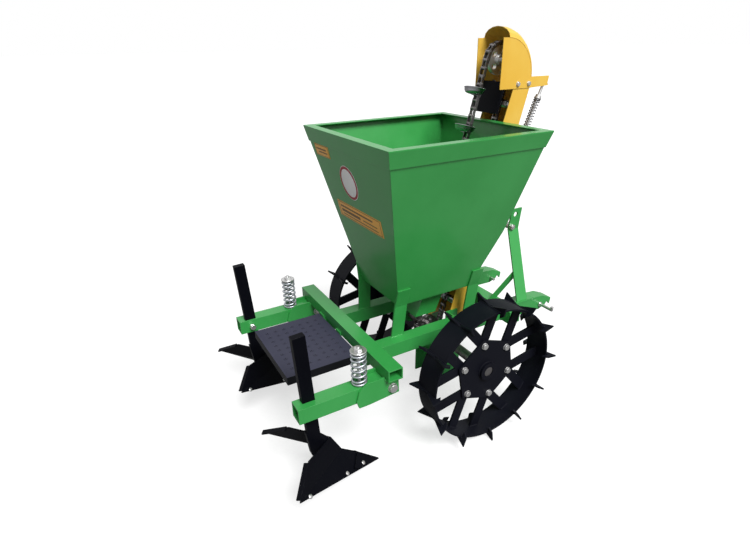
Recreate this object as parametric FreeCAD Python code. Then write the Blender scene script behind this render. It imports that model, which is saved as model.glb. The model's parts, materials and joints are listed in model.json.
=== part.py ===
import FreeCAD, Part
import math, os

# Single-row cup-chain potato planter for a small tractor's three-point linkage.
# X to the machine's right, Y to the tractor, Z up from the ground. Millimetres.
# Y is laid out from the wheel axle, then the whole machine is moved to its middle.

# ---- driving dimensions ----
tube = 50.0                 # square frame tube, outside
tube_wall = 4.0
rail_spacing = 270.0        # between the two rail centre lines
beam_height = 40.0          # rear beam, laid flat
beam_length = 673.0
beam_behind_axle = 349.0
crossbar_ahead = 255.0
crossbar_length = 410.0
rail_above_axle = 84.0      # rail top above the axle centre

rim_radius = 240.0
rim_width = 90.0
rim_wall = 6.0
lug_reach = 22.0            # lug tip past the rim, outwards and sideways
lug_foot = 45.0
lug_thick = 6.0
lug_count = 12
track = 686.0               # between the rim centres
spoke_width = 34.0
spoke_thick = 8.0
wheel_bolt_circle = 102.0
wheel_bolt_count = 6
wheel_bolt_phase = 40.0     # degrees
axle_radius = 17.5
boss_radius = 32.0

hopper_width = 563.0
hopper_length = 583.0
hopper_front_gap = 11.4     # front panel behind the chain's falling run
hopper_height = 542.0
hopper_above_rail = 118.0   # hopper bottom above the rails
hopper_bottom_width = 253.0
hopper_bottom_rear = 211.0
hopper_front_bulge = 22.0
sheet = 3.0
rim_band = 50.0
rim_flange = 30.0

wheel_chain_radius = 52.0   # pitch radius of both chain wheels
head_ahead = 260.0          # top chain wheel ahead of the axle
head_above_axle = 932.0
chain_pitch = 25.4
chain_width = 22.0
plate_height = 14.0
cup_spacing = 121.0         # along the chain
top_cup_down = 117.0        # topmost cup before the head wheel's centre
cup_width = 90.0
cup_reach = 28.0
tube_inner = 116.0          # inside width of the seed tube
hood_rise = 48.0            # hood top over the head wheel's rim
hood_run = 60.0             # hood front ahead of the head wheel's rim
hood_dome = 34.0            # crest of the cover over the side plates' edge
board_run = 100.0           # length of the board under the head wheel

arm_spacing = 572.0         # between the two arm centre lines
arm_length = 320.0
arm_front_behind = 330.0
arm_gap = 3.0               # arm top under the beam
pivot_radius = 8.0
pivot_above_arm = 16.0      # pivot centre above the arm's underside
plate_thick = 6.0
spring_behind = 96.0        # spring rod behind the pivot
spring_length = 112.0
spring_radius = 21.0
spring_wire = 4.0
spring_turns = 6

shank_thick = 22.0
shank_width = 38.0
shank_behind = 258.0        # shank behind the pivot
shank_up = 216.0            # shank top above the arm
shank_down = 90.0           # shank bottom below the arm
shank_lean = 2.8            # degrees, top to the rear
wing_spread = 326.0
wing_length = 327.0
wing_rise = 150.0
wing_top_rise = 200.0
wing_top_spread = 168.0
wing_top_length = 263.0
ridge_length = 163.0
ridge_rise = 176.0
ridge_bend_length = 129.0   # where the ridge line turns steeper
ridge_bend_rise = 111.0
wing_thick = 5.0

board_width = 320.0
board_length = 245.0
board_fold = 28.0
hole_pitch = 30.0
hole_radius = 3.0

mast_bar_thick = 6.0
mast_bar_width = 50.0
mast_height = 332.0         # above the rails
mast_kink = 252.0           # where the bars turn upright
mast_half = 30.0            # half the gap between the bars at the top
mast_lean = 43.0
hook_spacing = 292.0
hook_ahead = 478.0
link_hole_radius = 9.75

# ---- derived levels ----
axle_z = rim_radius + lug_reach
rail_top = axle_z + rail_above_axle
rail_low = rail_top - tube
beam_top = rail_top + beam_height
beam_rear = -beam_behind_axle - tube / 2
beam_front = -beam_behind_axle + tube / 2
bar_rear = crossbar_ahead - tube / 2
bar_front = crossbar_ahead + tube / 2
arm_top = rail_top - arm_gap
arm_low = arm_top - tube
arm_front = -arm_front_behind
arm_rear = arm_front - arm_length
pivot_y = -beam_behind_axle
pivot_z = arm_low + pivot_above_arm
hopper_low = rail_top + hopper_above_rail
hopper_top = hopper_low + hopper_height
head_z = axle_z + head_above_axle
lean = math.atan2(head_ahead, head_above_axle)
fall_ahead = head_ahead + wheel_chain_radius / math.cos(lean)   # falling run at the head's level
hopper_front = fall_ahead - (head_z - hopper_top) * math.tan(lean) - hopper_front_gap
hopper_rear = hopper_front - hopper_length
side_slope = (hopper_width - hopper_bottom_width) / 2 / hopper_height
front_slope = math.tan(lean)
rear_slope = -(hopper_rear + hopper_bottom_rear) / hopper_height
shank_x = arm_spacing / 2 - tube / 2 + tube_wall + 1.0 + shank_thick / 2
nose_y = beam_rear - 10.0
wing_tip_y = nose_y - wing_length
hook_tip = hook_ahead
shift_y = -(hook_tip + wing_tip_y) / 2

V = FreeCAD.Vector
AX, AY, AZ = V(1, 0, 0), V(0, 1, 0), V(0, 0, 1)


def box(x0, x1, y0, y1, z0, z1):
    return Part.makeBox(x1 - x0, y1 - y0, z1 - z0, V(x0, y0, z0))


def rod(radius, start, axis, length):
    return Part.makeCylinder(radius, length, start, axis)


def face_of(points):
    return Part.Face(Part.makePolygon(list(points) + [points[0]]))


def plate_x(outline, x0, x1):
    """Plate in the YZ plane, between two X values."""
    return face_of([V(x0, y, z) for y, z in outline]).extrude(V(x1 - x0, 0, 0))


def slab(points, push):
    """Flat polygon anywhere in space, pushed along a vector."""
    return face_of(points).extrude(push)


def keep_behind(shape, point, normal, reach=3000.0):
    """Cut away everything on the normal's side of a plane."""
    block = Part.makeBox(2 * reach, 2 * reach, reach, V(-reach, -reach, 0))
    block.Placement = FreeCAD.Placement(point, FreeCAD.Rotation(AZ, normal))
    return shape.cut(block)


def fuse(shapes):
    whole = shapes[0]
    if len(shapes) > 1:
        whole = whole.multiFuse(shapes[1:])
    return whole.removeSplitter()


def hex_bar(across, start, axis, length):
    """Hexagon head or nut, with its flats a given distance apart."""
    corner = across / math.sqrt(3)
    points = [V(corner * math.cos(math.radians(60 * k)),
                corner * math.sin(math.radians(60 * k)), 0) for k in range(6)]
    bar = face_of(points).extrude(V(0, 0, length))
    bar.Placement = FreeCAD.Placement(start, FreeCAD.Rotation(AZ, axis))
    return bar


def bolt(radius, start, axis, grip, head=None):
    """Bolt with its head behind the start point and a nut past the grip."""
    head = head or radius * 1.3
    across = radius * 3.2
    back = V(axis).multiply(-head)
    far = start + V(axis).multiply(grip)
    return fuse([hex_bar(across, start + back, axis, head),
                 rod(radius, start, axis, grip + 2.2 * radius),
                 hex_bar(across, far, axis, 1.7 * radius)])


def mirror(shape):
    return shape.mirror(V(0, 0, 0), AX)


def square_tube(x0, x1, y0, y1, z0, z1, along):
    """Hollow tube, open at both ends along one axis."""
    inner = dict(X=(0, tube_wall, tube_wall), Y=(tube_wall, 0, tube_wall))[along]
    a, b, c = inner
    return box(x0, x1, y0, y1, z0, z1).cut(
        box(x0 + a - (a == 0), x1 - a + (a == 0), y0 + b - (b == 0),
            y1 - b + (b == 0), z0 + c, z1 - c))


nodes = {}


def add(name, *shapes):
    """One node, made of one or more separate solids."""
    solids = [s for shape in shapes for s in shape.Solids]
    nodes[name] = Part.makeCompound(solids)


# ---- frame tubes ----
rail_x0 = rail_spacing / 2 - tube / 2
rail_x1 = rail_spacing / 2 + tube / 2
rail = square_tube(rail_x0, rail_x1, beam_rear, bar_rear, rail_low, rail_top, "Y")
add("rail_right", rail)
add("rail_left", mirror(rail))
add("crossbar", square_tube(-crossbar_length / 2, crossbar_length / 2, bar_rear,
                            bar_front, rail_low, rail_top, "X"))
add("rear_beam", square_tube(-beam_length / 2, beam_length / 2, beam_rear,
                             beam_front, rail_top, beam_top, "X"))

# ---- axle bearings under the rails ----
bearing_half = tube / 2 - sheet
bearing = box(rail_spacing / 2 - bearing_half, rail_spacing / 2 + bearing_half,
              -tube, tube, rail_low - plate_thick, rail_low)
bearing = fuse([bearing,
                rod(2 * axle_radius, V(rail_spacing / 2 - bearing_half, 0, axle_z), AX,
                    2 * bearing_half),
                box(rail_spacing / 2 - bearing_half, rail_spacing / 2 + bearing_half,
                    -1.5 * axle_radius, 1.5 * axle_radius, axle_z, rail_low)])
bearing = keep_behind(bearing, V(0, 0, rail_low), AZ)
bearing = bearing.cut(rod(axle_radius + 0.05, V(0, 0, axle_z), AX, rail_spacing))
add("axle_bearings", bearing, mirror(bearing))

# ---- hitch: hook brackets, mast, braces ----
hook_x0 = hook_spacing / 2 - tube / 2
hook_x1 = hook_spacing / 2 + tube / 2
skin_thick = 8.0
hook_top = rail_top + skin_thick
hook_nose = 18.0
cheek = [(bar_front, rail_top), (hook_tip - 1.9 * tube, rail_top),
         (hook_tip - tube, rail_top - 4.0), (hook_tip, rail_top - tube * 0.5),
         (hook_tip - 4.0, rail_top - tube * 0.5 - hook_nose),
         (hook_tip - hook_nose, rail_top - tube * 0.52),
         (hook_tip - tube * 0.55, rail_low + 10.0),
         (hook_tip - tube * 1.2, rail_low - 2.0), (bar_front, rail_low + 2.0)]
cheek_thick = 8.0
top_skin = [(bar_rear + skin_thick, rail_top), (bar_rear + skin_thick, hook_top),
            (hook_tip - 1.9 * tube, hook_top), (hook_tip - tube + 3.0, hook_top - 4.0),
            (hook_tip - tube, rail_top - 4.0), (hook_tip - 1.9 * tube, rail_top)]
nose_skin = [(hook_tip - tube, rail_top - 4.0), (hook_tip - tube + 3.0, hook_top - 4.0),
             (hook_tip, rail_top - tube * 0.5 + 9.0), (hook_tip, rail_top - tube * 0.5)]
pin_y = hook_tip - tube * 1.15
pin_z = rail_low + tube * 0.4
pin_radius = 6.0
bracket = [plate_x(cheek, hook_x1 - cheek_thick, hook_x1),
           plate_x(cheek, hook_x0, hook_x0 + cheek_thick)]
link_y = bar_front + tube * 0.72
link_z = rail_top - tube / 2
link_radius = 11.2          # lower link pin hole, category 1
pin_hole = rod(pin_radius, V(0, pin_y, pin_z), AX, 2 * hook_x1)
link_hole = rod(link_radius, V(0, link_y, link_z), AX, 2 * hook_x1)
bracket = [side.cut(pin_hole).cut(link_hole) for side in bracket]
bracket += [plate_x(top_skin, hook_x0, hook_x1), plate_x(nose_skin, hook_x0, hook_x1)]
add("hitch_bracket_right", *bracket)
add("hitch_bracket_left", *[mirror(plate) for plate in bracket])

pin_out = 62.0
pin_in = 24.0
bend = 14.0
elbow = V(hook_x1 + pin_out, pin_y, pin_z)
lock_pin = fuse([rod(pin_radius, V(hook_x0 - pin_in, pin_y, pin_z), AX,
                     pin_out + pin_in + hook_x1 - hook_x0),
                 Part.makeSphere(pin_radius, elbow), rod(pin_radius, elbow, AZ, bend),
                 rod(1.6 * pin_radius, V(hook_x1, pin_y, pin_z), AX, 4.0)])
add("hitch_lock_pins", lock_pin, mirror(lock_pin))

foot_x = hook_x1 - mast_bar_thick * 2.2
kink_z = rail_top + mast_kink
foot_y = bar_front + tube * 0.45
kink_y = foot_y + mast_lean
top_z = rail_top + mast_height
top_y = kink_y + 10.0


def leaning_bar(x0, y0, z0, x1, y1, z1, width, thick):
    """Flat bar between two levels, its width along Y."""
    low = [V(x0, y0, z0), V(x0 + thick, y0, z0), V(x0 + thick, y0 + width, z0),
           V(x0, y0 + width, z0)]
    high = [V(x1, y1, z1), V(x1 + thick, y1, z1), V(x1 + thick, y1 + width, z1),
            V(x1, y1 + width, z1)]
    return Part.makeLoft([Part.makePolygon(low + [low[0]]),
                          Part.makePolygon(high + [high[0]])], True, True)


link_top_z = top_z - 0.45 * mast_bar_width
link_top_y = (kink_y + top_y) / 2 + mast_bar_width / 2
mast = fuse([leaning_bar(foot_x, foot_y, hook_top, mast_half, kink_y, kink_z,
                         mast_bar_width, mast_bar_thick),
             leaning_bar(mast_half, kink_y, kink_z, mast_half, top_y, top_z,
                         mast_bar_width, mast_bar_thick)])
mast = mast.cut(rod(link_hole_radius, V(0, link_top_y, link_top_z), AX, 2 * hook_x1))
spacer_y = kink_y + mast_bar_width * 0.25
spacer_z = kink_z + 12.0
mast = mast.cut(rod(6.0, V(0, spacer_y, spacer_z), AX, 2 * hook_x1))
add("mast_bar_right", mast)
add("mast_bar_left", mirror(mast))
spacer = rod(12.0, V(-mast_half, spacer_y, spacer_z), AX, 2 * mast_half)
spacer = spacer.cut(rod(6.0, V(-mast_half, spacer_y, spacer_z), AX, 2 * mast_half))
add("mast_spacer", spacer, bolt(6.0, V(-mast_half - mast_bar_thick, spacer_y, spacer_z), AX,
                      2 * (mast_half + mast_bar_thick)))

brace_top_z = rail_top + 0.42 * mast_kink
lean_at = (brace_top_z - hook_top) / (kink_z - hook_top)
brace_x = foot_x + (mast_half - foot_x) * lean_at - mast_bar_thick - 2.0
brace_y = foot_y + mast_lean * lean_at
brace = leaning_bar(brace_x - 0.45 * tube, bar_rear + 4.0, rail_top, brace_x + 1.0,
                    brace_y + 6.0, brace_top_z, 0.75 * mast_bar_width, mast_bar_thick)
brace = brace.cut(mast)
add("mast_braces", brace, mirror(brace))

# ---- hopper ----
side_x = hopper_width / 2 - sheet
rear_y = hopper_rear + sheet
front_y = hopper_front - sheet
panel_top = hopper_top - sheet
side_in = V(side_x, 0, panel_top)
side_normal = V(1, 0, -side_slope).normalize()
rear_normal = V(0, -1, -rear_slope).normalize()
front_normal = V(0, 1, -front_slope).normalize()


def side_at(z):
    return side_x - side_slope * (panel_top - z)


def rear_at(z):
    return rear_y + rear_slope * (panel_top - z)


def front_at(z):
    return front_y - front_slope * (panel_top - z)


bulge_z = hopper_top - 0.62 * hopper_height
outline = [(rear_at(hopper_low), hopper_low), (rear_at(panel_top), panel_top),
           (front_at(panel_top), panel_top),
           (front_at(hopper_top - rim_band), hopper_top - rim_band),
           (front_at(bulge_z) + hopper_front_bulge, bulge_z),
           (front_at(hopper_low) - 2.0, hopper_low)]
side_panel = slab([V(side_at(z), y, z) for y, z in outline],
                  V(side_normal).multiply(-sheet))
side_panel = keep_behind(side_panel, V(0, 0, panel_top), AZ)
add("hopper_panel_right", side_panel)
add("hopper_panel_left", mirror(side_panel))
inside = side_in - V(side_normal).multiply(sheet)
wide = hopper_width


def cross_panel(at, normal):
    panel = slab([V(-wide, at(hopper_low), hopper_low), V(wide, at(hopper_low), hopper_low),
                  V(wide, at(panel_top), panel_top), V(-wide, at(panel_top), panel_top)],
                 V(normal).multiply(-sheet))
    panel = keep_behind(panel, V(0, 0, panel_top), AZ)
    panel = keep_behind(panel, inside, side_normal)
    left = V(-inside.x, inside.y, inside.z)
    return keep_behind(panel, left, V(-side_normal.x, 0, side_normal.z))


add("hopper_panel_front", cross_panel(front_at, front_normal))
add("hopper_panel_rear", cross_panel(rear_at, rear_normal))


def frustum(grow, z_low, z_high):
    wires = []
    for z in (z_low, z_high):
        corners = [V(-side_at(z) - grow, rear_at(z) - grow, z),
                   V(side_at(z) + grow, rear_at(z) - grow, z),
                   V(side_at(z) + grow, front_at(z) + grow, z),
                   V(-side_at(z) - grow, front_at(z) + grow, z)]
        wires.append(Part.makePolygon(corners + [corners[0]]))
    return Part.makeLoft(wires, True, True)


band = frustum(sheet, hopper_top - rim_band, panel_top)
band = band.cut(frustum(0, hopper_top - rim_band - 1, panel_top + 1))
lip = box(-hopper_width / 2, hopper_width / 2, hopper_rear, hopper_front,
          panel_top, hopper_top)
lip = lip.cut(box(-hopper_width / 2 + rim_flange, hopper_width / 2 - rim_flange,
                  hopper_rear + rim_flange, hopper_front - rim_flange,
                  panel_top - 1, hopper_top + 1))
add("hopper_rim", fuse([band, lip]))

# floor of the hopper, with a slot for the chain, and the pick-up trough below it
slot_half = tube_inner / 2


def run_y(z, side):
    """Chain pitch line at a level: side -1 rising at the rear, +1 falling at the front."""
    return head_ahead - (head_z - z) * math.tan(lean) \
        + side * wheel_chain_radius / math.cos(lean)


slot_rear = run_y(hopper_low, -1) - cup_reach - 2.2 * tube_wall - plate_height
slot_front = run_y(hopper_low, 1) - plate_height
floor_plate = box(-side_at(hopper_low) + 1, side_at(hopper_low) - 1,
                  rear_at(hopper_low) + 1, front_at(hopper_low) - 1,
                  hopper_low - sheet, hopper_low)
floor_plate = floor_plate.cut(box(-slot_half, slot_half, slot_rear, hopper_length,
                                  hopper_low - 2 * sheet, hopper_low + sheet))
hub_room = wheel_chain_radius + cup_reach + plate_height
trough_low = axle_z + hub_room
trough_rear = -hub_room
trough_top = hopper_low - sheet
trough_side = [(slot_rear - sheet, trough_top), (trough_rear - sheet, trough_low),
               (trough_rear + 0.9 * hub_room, trough_low), (slot_rear + 0.9 * hub_room, trough_top)]
trough_back = slab([V(-slot_half, slot_rear - sheet, trough_top),
                    V(slot_half, slot_rear - sheet, trough_top),
                    V(slot_half, trough_rear - sheet, trough_low),
                    V(-slot_half, trough_rear - sheet, trough_low)], V(0, sheet, 0))
add("hopper_floor", fuse([floor_plate, plate_x(trough_side, slot_half, slot_half + sheet),
                          plate_x(trough_side, -slot_half - sheet, -slot_half), trough_back]))

# hopper legs: flat strips from the lower corners of the side panels to the rails
leg_width = 48.0
leg_thick = 6.0
leg_top = hopper_low + 1.3 * tube
leg_x = rail_x0 + leg_thick


def leg(y_top, y_low):
    """Strip laid against the side panel above, standing on the rail below."""
    upper = leaning_bar(side_at(hopper_low), y_top + (y_low - y_top) * 0.2, hopper_low,
                        side_at(leg_top), y_top, leg_top, leg_width, leg_thick)
    lower = leaning_bar(leg_x, y_low, rail_top, side_at(hopper_low),
                        y_top + (y_low - y_top) * 0.2, hopper_low, leg_width, leg_thick)
    return fuse([upper, lower])


leg_rear = leg(rear_at(leg_top), rear_at(hopper_low) - 0.55 * leg_width)
leg_front = leg(front_at(leg_top) - 0.62 * leg_width, front_at(hopper_low) - 0.5 * leg_width)
add("hopper_legs", leg_rear, leg_front, mirror(leg_rear), mirror(leg_front))

# plain badges on the rear panel
badge = 1.0


def on_rear(x, z):
    return V(x, rear_at(z), z)


def rear_plate(x0, x1, z0, z1, rise):
    return slab([on_rear(x0, z0), on_rear(x1, z0), on_rear(x1, z1), on_rear(x0, z1)],
                V(rear_normal).multiply(rise))


badge_z = hopper_top - 0.275 * hopper_height
roundel = rod(0.101 * hopper_width, on_rear(-0.045 * hopper_width, badge_z),
              rear_normal, badge)
plate_z = hopper_top - 0.43 * hopper_height
main_plate = rear_plate(-0.285 * hopper_width, 0.245 * hopper_width,
                        plate_z - 0.105 * hopper_height, plate_z, badge)
small_z = hopper_top - rim_band - 2.0
small_plate = rear_plate(-0.41 * hopper_width, -0.22 * hopper_width,
                         small_z - 0.07 * hopper_height, small_z, badge)
add("hopper_badges", roundel, main_plate, small_plate)

# ---- elevator tube and hood ----
depth = cup_reach + plate_height + 20.0
tube_low = axle_z + 0.16 * tube
tube_high = head_z - 1.45 * wheel_chain_radius
skin = 2.0


def tube_rear(z):
    return run_y(z, 1) - plate_height / 2 - 3.0


def tube_front(z):
    return run_y(z, 1) + depth


tube_side = [(tube_rear(tube_low), tube_low), (tube_front(tube_low), tube_low),
             (tube_front(tube_high), tube_high), (tube_rear(tube_high), tube_high),
             (front_at(panel_top), panel_top), (front_at(hopper_low), hopper_low)]
side_wall = plate_x(tube_side, slot_half, slot_half + skin).cut(nodes["hopper_rim"])
tube_face = slab([V(-slot_half, tube_front(tube_low), tube_low),
                  V(slot_half, tube_front(tube_low), tube_low),
                  V(slot_half, tube_front(tube_high), tube_high),
                  V(-slot_half, tube_front(tube_high), tube_high)], V(0, -skin, 0))
seed_tube = fuse([side_wall, mirror(side_wall), tube_face])

hood_x = slot_half + skin
hood_top = head_z + wheel_chain_radius + hood_rise
hood_front = head_ahead + wheel_chain_radius + hood_run
hood_rear = head_ahead - 0.8 * wheel_chain_radius
hood_low = head_z - 1.65 * wheel_chain_radius
bend_y = head_ahead - 0.3 * wheel_chain_radius
ear_high = hood_low + 0.7 * tube


def hood_arc(inset):
    """Cover's line over the head wheel, from the hood's top down to its ear."""
    run = hood_front - bend_y - 0.6 * inset
    rise = hood_top - ear_high - inset
    turns = [math.radians(90.0 - 7.5 * k) for k in range(13)]
    return [(bend_y + run * math.cos(t), ear_high + rise * math.sin(t)) for t in turns]


ear_front = hood_front + 1.25 * wheel_chain_radius
ear_low = hood_low + 4.0
plate_arc = hood_arc(hood_dome)
hood_side = [(hood_rear, hood_low), (hood_rear, plate_arc[0][1])] + plate_arc \
    + [(ear_front, ear_high), (ear_front - 6.0, ear_low), (plate_arc[-1][0], hood_low)]
hood_wall = plate_x(hood_side, hood_x, hood_x + skin)
sections = []
for k in range(9):
    across_turn = math.radians(22.5 * k)
    inset = hood_dome * (1 - math.sin(across_turn))
    band_line = hood_arc(inset) + hood_arc(inset + skin)[::-1]
    x = -(hood_x + skin) * math.cos(across_turn)
    sections.append(Part.makePolygon([V(x, y, z) for y, z in band_line + [band_line[0]]]))
strips = [Part.makeLoft([a, b], True, True) for a, b in zip(sections, sections[1:])]
hood = fuse([hood_wall, mirror(hood_wall)] + strips)

# ---- chain: two straight runs and the wraps round both wheels ----
side_plate = 3.0
roller = 6.0


def chain_spot(along, across):
    """Point on the leaning elevator: along the chain line, across towards the front."""
    return V(0, along * math.sin(lean) + across * math.cos(lean),
             axle_z + along * math.cos(lean) - across * math.sin(lean))


run_length = math.hypot(head_ahead, head_above_axle)


def strip(across, x0, x1):
    half = plate_height / 2
    return slab([chain_spot(a, c) + V(x0, 0, 0) for a, c in
                 ((0, across - half), (run_length, across - half),
                  (run_length, across + half), (0, across + half))], V(x1 - x0, 0, 0))


def chain_run(across):
    parts = [strip(across, -chain_width / 2, -chain_width / 2 + side_plate),
             strip(across, chain_width / 2 - side_plate, chain_width / 2)]
    for k in range(int(run_length / chain_pitch)):
        spot = chain_spot((k + 0.5) * chain_pitch, across)
        parts.append(rod(roller, V(-chain_width / 2 + side_plate, spot.y, spot.z), AX,
                         chain_width - 2 * side_plate))
    return fuse(parts)


def wrap(centre, upper):
    """Half ring of chain round a wheel, two side plates deep."""
    outer = wheel_chain_radius + plate_height / 2
    inner = wheel_chain_radius - plate_height / 2
    rings = []
    for x0 in (-chain_width / 2, chain_width / 2 - side_plate):
        ring = rod(outer, V(x0, centre.y, centre.z), AX, side_plate)
        rings.append(ring.cut(rod(inner, V(x0, centre.y, centre.z), AX, side_plate)))
    for k in range(7):
        turn = math.pi * (k + 0.5) / 7 * (1 if upper else -1)
        spot = centre + V(0, wheel_chain_radius * math.cos(turn - lean),
                          wheel_chain_radius * math.sin(turn - lean))
        rings.append(rod(roller, V(-chain_width / 2 + side_plate, spot.y, spot.z), AX,
                         chain_width - 2 * side_plate))
    half = fuse(rings)
    normal = V(0, math.sin(lean), math.cos(lean))
    return keep_behind(half, centre, V(normal).multiply(-1) if upper else normal)


low_centre = V(0, 0, axle_z)
head_centre = V(0, head_ahead, head_z)
add("seed_chain", chain_run(-wheel_chain_radius), chain_run(wheel_chain_radius),
    wrap(head_centre, True), wrap(low_centre, False))


def cup(across, along):
    """Dished cup on the outside of the chain, with its bracket on the side plates."""
    out = 1 if across > 0 else -1
    mid = chain_spot(along, across + out * (plate_height / 2 + cup_reach / 2))
    tip = -1 if across > 0 else 1
    bowl = Part.makeCone(cup_reach / 2 - 4, cup_reach / 2, 14.0, V(0, 0, 0), AZ)
    hollow = Part.makeCone(cup_reach / 2 - 6, cup_reach / 2 - 2, 14.0, V(0, 0, 2.5), AZ)
    bowl = bowl.cut(hollow)
    stretch = FreeCAD.Matrix()
    stretch.scale(cup_width / cup_reach, 1, 1)
    bowl = bowl.transformGeometry(stretch)
    bowl.Placement = FreeCAD.Placement(V(0, mid.y, mid.z - tip * 7.0),
                                       FreeCAD.Rotation(AX, 0 if tip > 0 else 180))
    root_at = chain_spot(along, across)
    stem = box(-chain_width / 2, chain_width / 2, min(root_at.y, mid.y), max(root_at.y, mid.y),
               mid.z - tip * 7.0 - 1.25, mid.z - tip * 7.0 + 1.25)
    whole = fuse([bowl, stem])
    return whole.cut(strip(across, -chain_width, chain_width))


# black board under the head wheel, screwed between the hood's sides
board_end = run_length - wheel_chain_radius - plate_height
corners = [chain_spot(a, c) - V(hood_x, 0, 0) for a, c in
           ((board_end - board_run, -4.0), (board_end, -4.0), (board_end, 4.0),
            (board_end - board_run, 4.0))]
add("head_board", slab(corners, V(2 * hood_x, 0, 0)))

cups = []
for k in range(int((run_length - top_cup_down) / cup_spacing)):
    along = run_length - top_cup_down - k * cup_spacing
    cups.append(cup(-wheel_chain_radius, along))
    cups.append(cup(wheel_chain_radius, along))
add("seed_cups", *cups)

# ---- chain wheels and the top shaft ----
shaft_radius = 10.0
wheel_gap = 0.4


def chain_wheel(centre, bore, boss):
    disc_radius = wheel_chain_radius - roller - wheel_gap
    half = chain_width / 2 - side_plate - wheel_gap
    disc = rod(disc_radius, V(-half, centre.y, centre.z), AX, 2 * half)
    disc = disc.fuse(rod(boss, V(-2.2 * half, centre.y, centre.z), AX, 4.4 * half))
    for k in range(5):
        turn = math.radians(72 * k)
        disc = disc.cut(rod(0.2 * disc_radius,
                            V(-half, centre.y + 0.68 * disc_radius * math.cos(turn),
                              centre.z + 0.68 * disc_radius * math.sin(turn)), AX, 2 * half))
    return disc.cut(rod(bore, V(-3 * half, centre.y, centre.z), AX, 6 * half))


add("head_wheel", chain_wheel(head_centre, shaft_radius + 0.05, 1.8 * shaft_radius))
add("drive_wheel", chain_wheel(low_centre, axle_radius, 1.45 * axle_radius))
collar = 1.9 * shaft_radius
shaft = fuse([rod(shaft_radius, V(-hood_x, head_ahead, head_z), AX, 2 * hood_x),
              rod(collar, V(-hood_x, head_ahead, head_z), AX, 10.0),
              rod(collar, V(hood_x - 10.0, head_ahead, head_z), AX, 10.0)])
add("head_shaft", shaft)

# bolts through the hood sides into the seed tube
bolt_z = hood_low + 0.28 * tube
hood_bolts = []
for y in (tube_rear(bolt_z) + 12.0, tube_front(bolt_z) - 12.0):
    screw = bolt(4.0, V(hood_x + skin, y, bolt_z), V(-1, 0, 0), 2 * skin)
    hood_bolts += [screw, mirror(screw)]
    hole = rod(4.0, V(-2 * hood_x, y, bolt_z), AX, 4 * hood_x)
    hood = hood.cut(hole)
    seed_tube = seed_tube.cut(hole)
add("hood_bolts", *hood_bolts)

# chain tensioners: a rod and a spring each side, from the hood's ears down to the seed tube
tension_lean = 23.0         # degrees, foot to the rear
tension_y = ear_front - 14.0
tension_x = 50.0            # one rod near each side plate
tension_drop = 155.0        # foot plate under the ear
foot_reach = 100.0          # foot plate behind the rod
spring_top = ear_low - 0.30 * tension_drop
foot_z = ear_low - tension_drop
pin_top = V(0, tension_y, ear_low)


def tipped(shape):
    """Leaned about the ear, the foot swinging back to the seed tube."""
    shape.rotate(pin_top, AX, -tension_lean)
    return shape


lug_plate = box(-hood_x, hood_x, tension_y - 13.0, tension_y + 13.0, ear_low + 6.0,
                ear_low + 10.0)
foot_plate = box(-hood_x, hood_x, tension_y - foot_reach, tension_y + 13.0,
                 foot_z - 6.0, foot_z)
rod_hole = rod(5.0, V(tension_x, tension_y, foot_z - 0.5 * tension_drop), AZ,
               2.0 * tension_drop)
rod_holes = fuse([rod_hole, mirror(rod_hole)])
tube_block = plate_x(tube_side, -hood_x, hood_x)
hood = fuse([hood, tipped(lug_plate.cut(rod_holes))])
seed_tube = fuse([seed_tube, tipped(foot_plate.cut(rod_holes)).cut(tube_block)])
add("hood", hood)
add("seed_tube", seed_tube)
tension_rod = fuse([rod(5.0, V(tension_x, tension_y, foot_z - 20.0), AZ, tension_drop + 42.0),
                    hex_bar(16.0, V(tension_x, tension_y, foot_z - 14.0), AZ, 8.0),
                    hex_bar(16.0, V(tension_x, tension_y, ear_low + 10.0), AZ, 7.0),
                    rod(13.0, V(tension_x, tension_y, spring_top), AZ, 4.0),
                    hex_bar(18.0, V(tension_x, tension_y, spring_top + 4.0), AZ, 9.0)])
tension_rod = tipped(tension_rod)
add("tensioner_rods", tension_rod, mirror(tension_rod))


def coil(radius, wire, low, high, turns, x, y):
    """Compression spring with flat end rings."""
    spring = Part.makeHelix((high - low - 2 * wire) / turns, high - low - 2 * wire, radius)
    circle = Part.Wire(Part.Circle(V(radius, 0, 0), V(0, 1, 0), wire / 2).toShape())
    body = Part.Wire(spring).makePipeShell([circle], True, True)
    body.translate(V(x, y, low + wire))
    rings = []
    for z in (low + wire / 2, high - wire / 2):
        ring = Part.makeTorus(radius, wire / 2, V(x, y, z), AZ)
        rings.append(ring)
    return fuse([body] + rings)


tension_spring = tipped(coil(10.0, 3.0, foot_z, spring_top, 9, tension_x, tension_y))
add("tensioner_springs", tension_spring, mirror(tension_spring))

# ---- furrow opener under the chain ----
opener_rear = -0.2 * tube
opener_front = tube_front(tube_low) - 6.0
opener_low = 0.45 * tube
opener_high = rail_low + 0.3 * tube
opener = [(opener_rear, opener_low), (opener_front - 30.0, opener_low),
          (opener_front, opener_low + tube), (opener_front, tube_low - 2.0),
          (opener_rear + 4.0, tube_low - 2.0)]
opener_wall = plate_x(opener, slot_half + skin, slot_half + skin + plate_thick)
nose = slab([V(-slot_half - skin, opener_front - 30.0, opener_low),
             V(slot_half + skin, opener_front - 30.0, opener_low),
             V(slot_half + skin, opener_front, opener_low + tube),
             V(-slot_half - skin, opener_front, opener_low + tube)], V(0, -plate_thick, 0))
hanger_y = 2.1 * axle_radius + 6.0
hanger = box(slot_half + skin, rail_x0, hanger_y, hanger_y + plate_thick,
             rail_low + 6.0, rail_top - 6.0)
tie = box(slot_half + skin, slot_half + skin + plate_thick, hanger_y - 3.0,
          opener_front - 20.0, tube_low - 2.0, rail_top - 6.0)
boss_hole = rod(2 * axle_radius, V(-hopper_width, 0, axle_z), AX, 2 * hopper_width)
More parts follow.
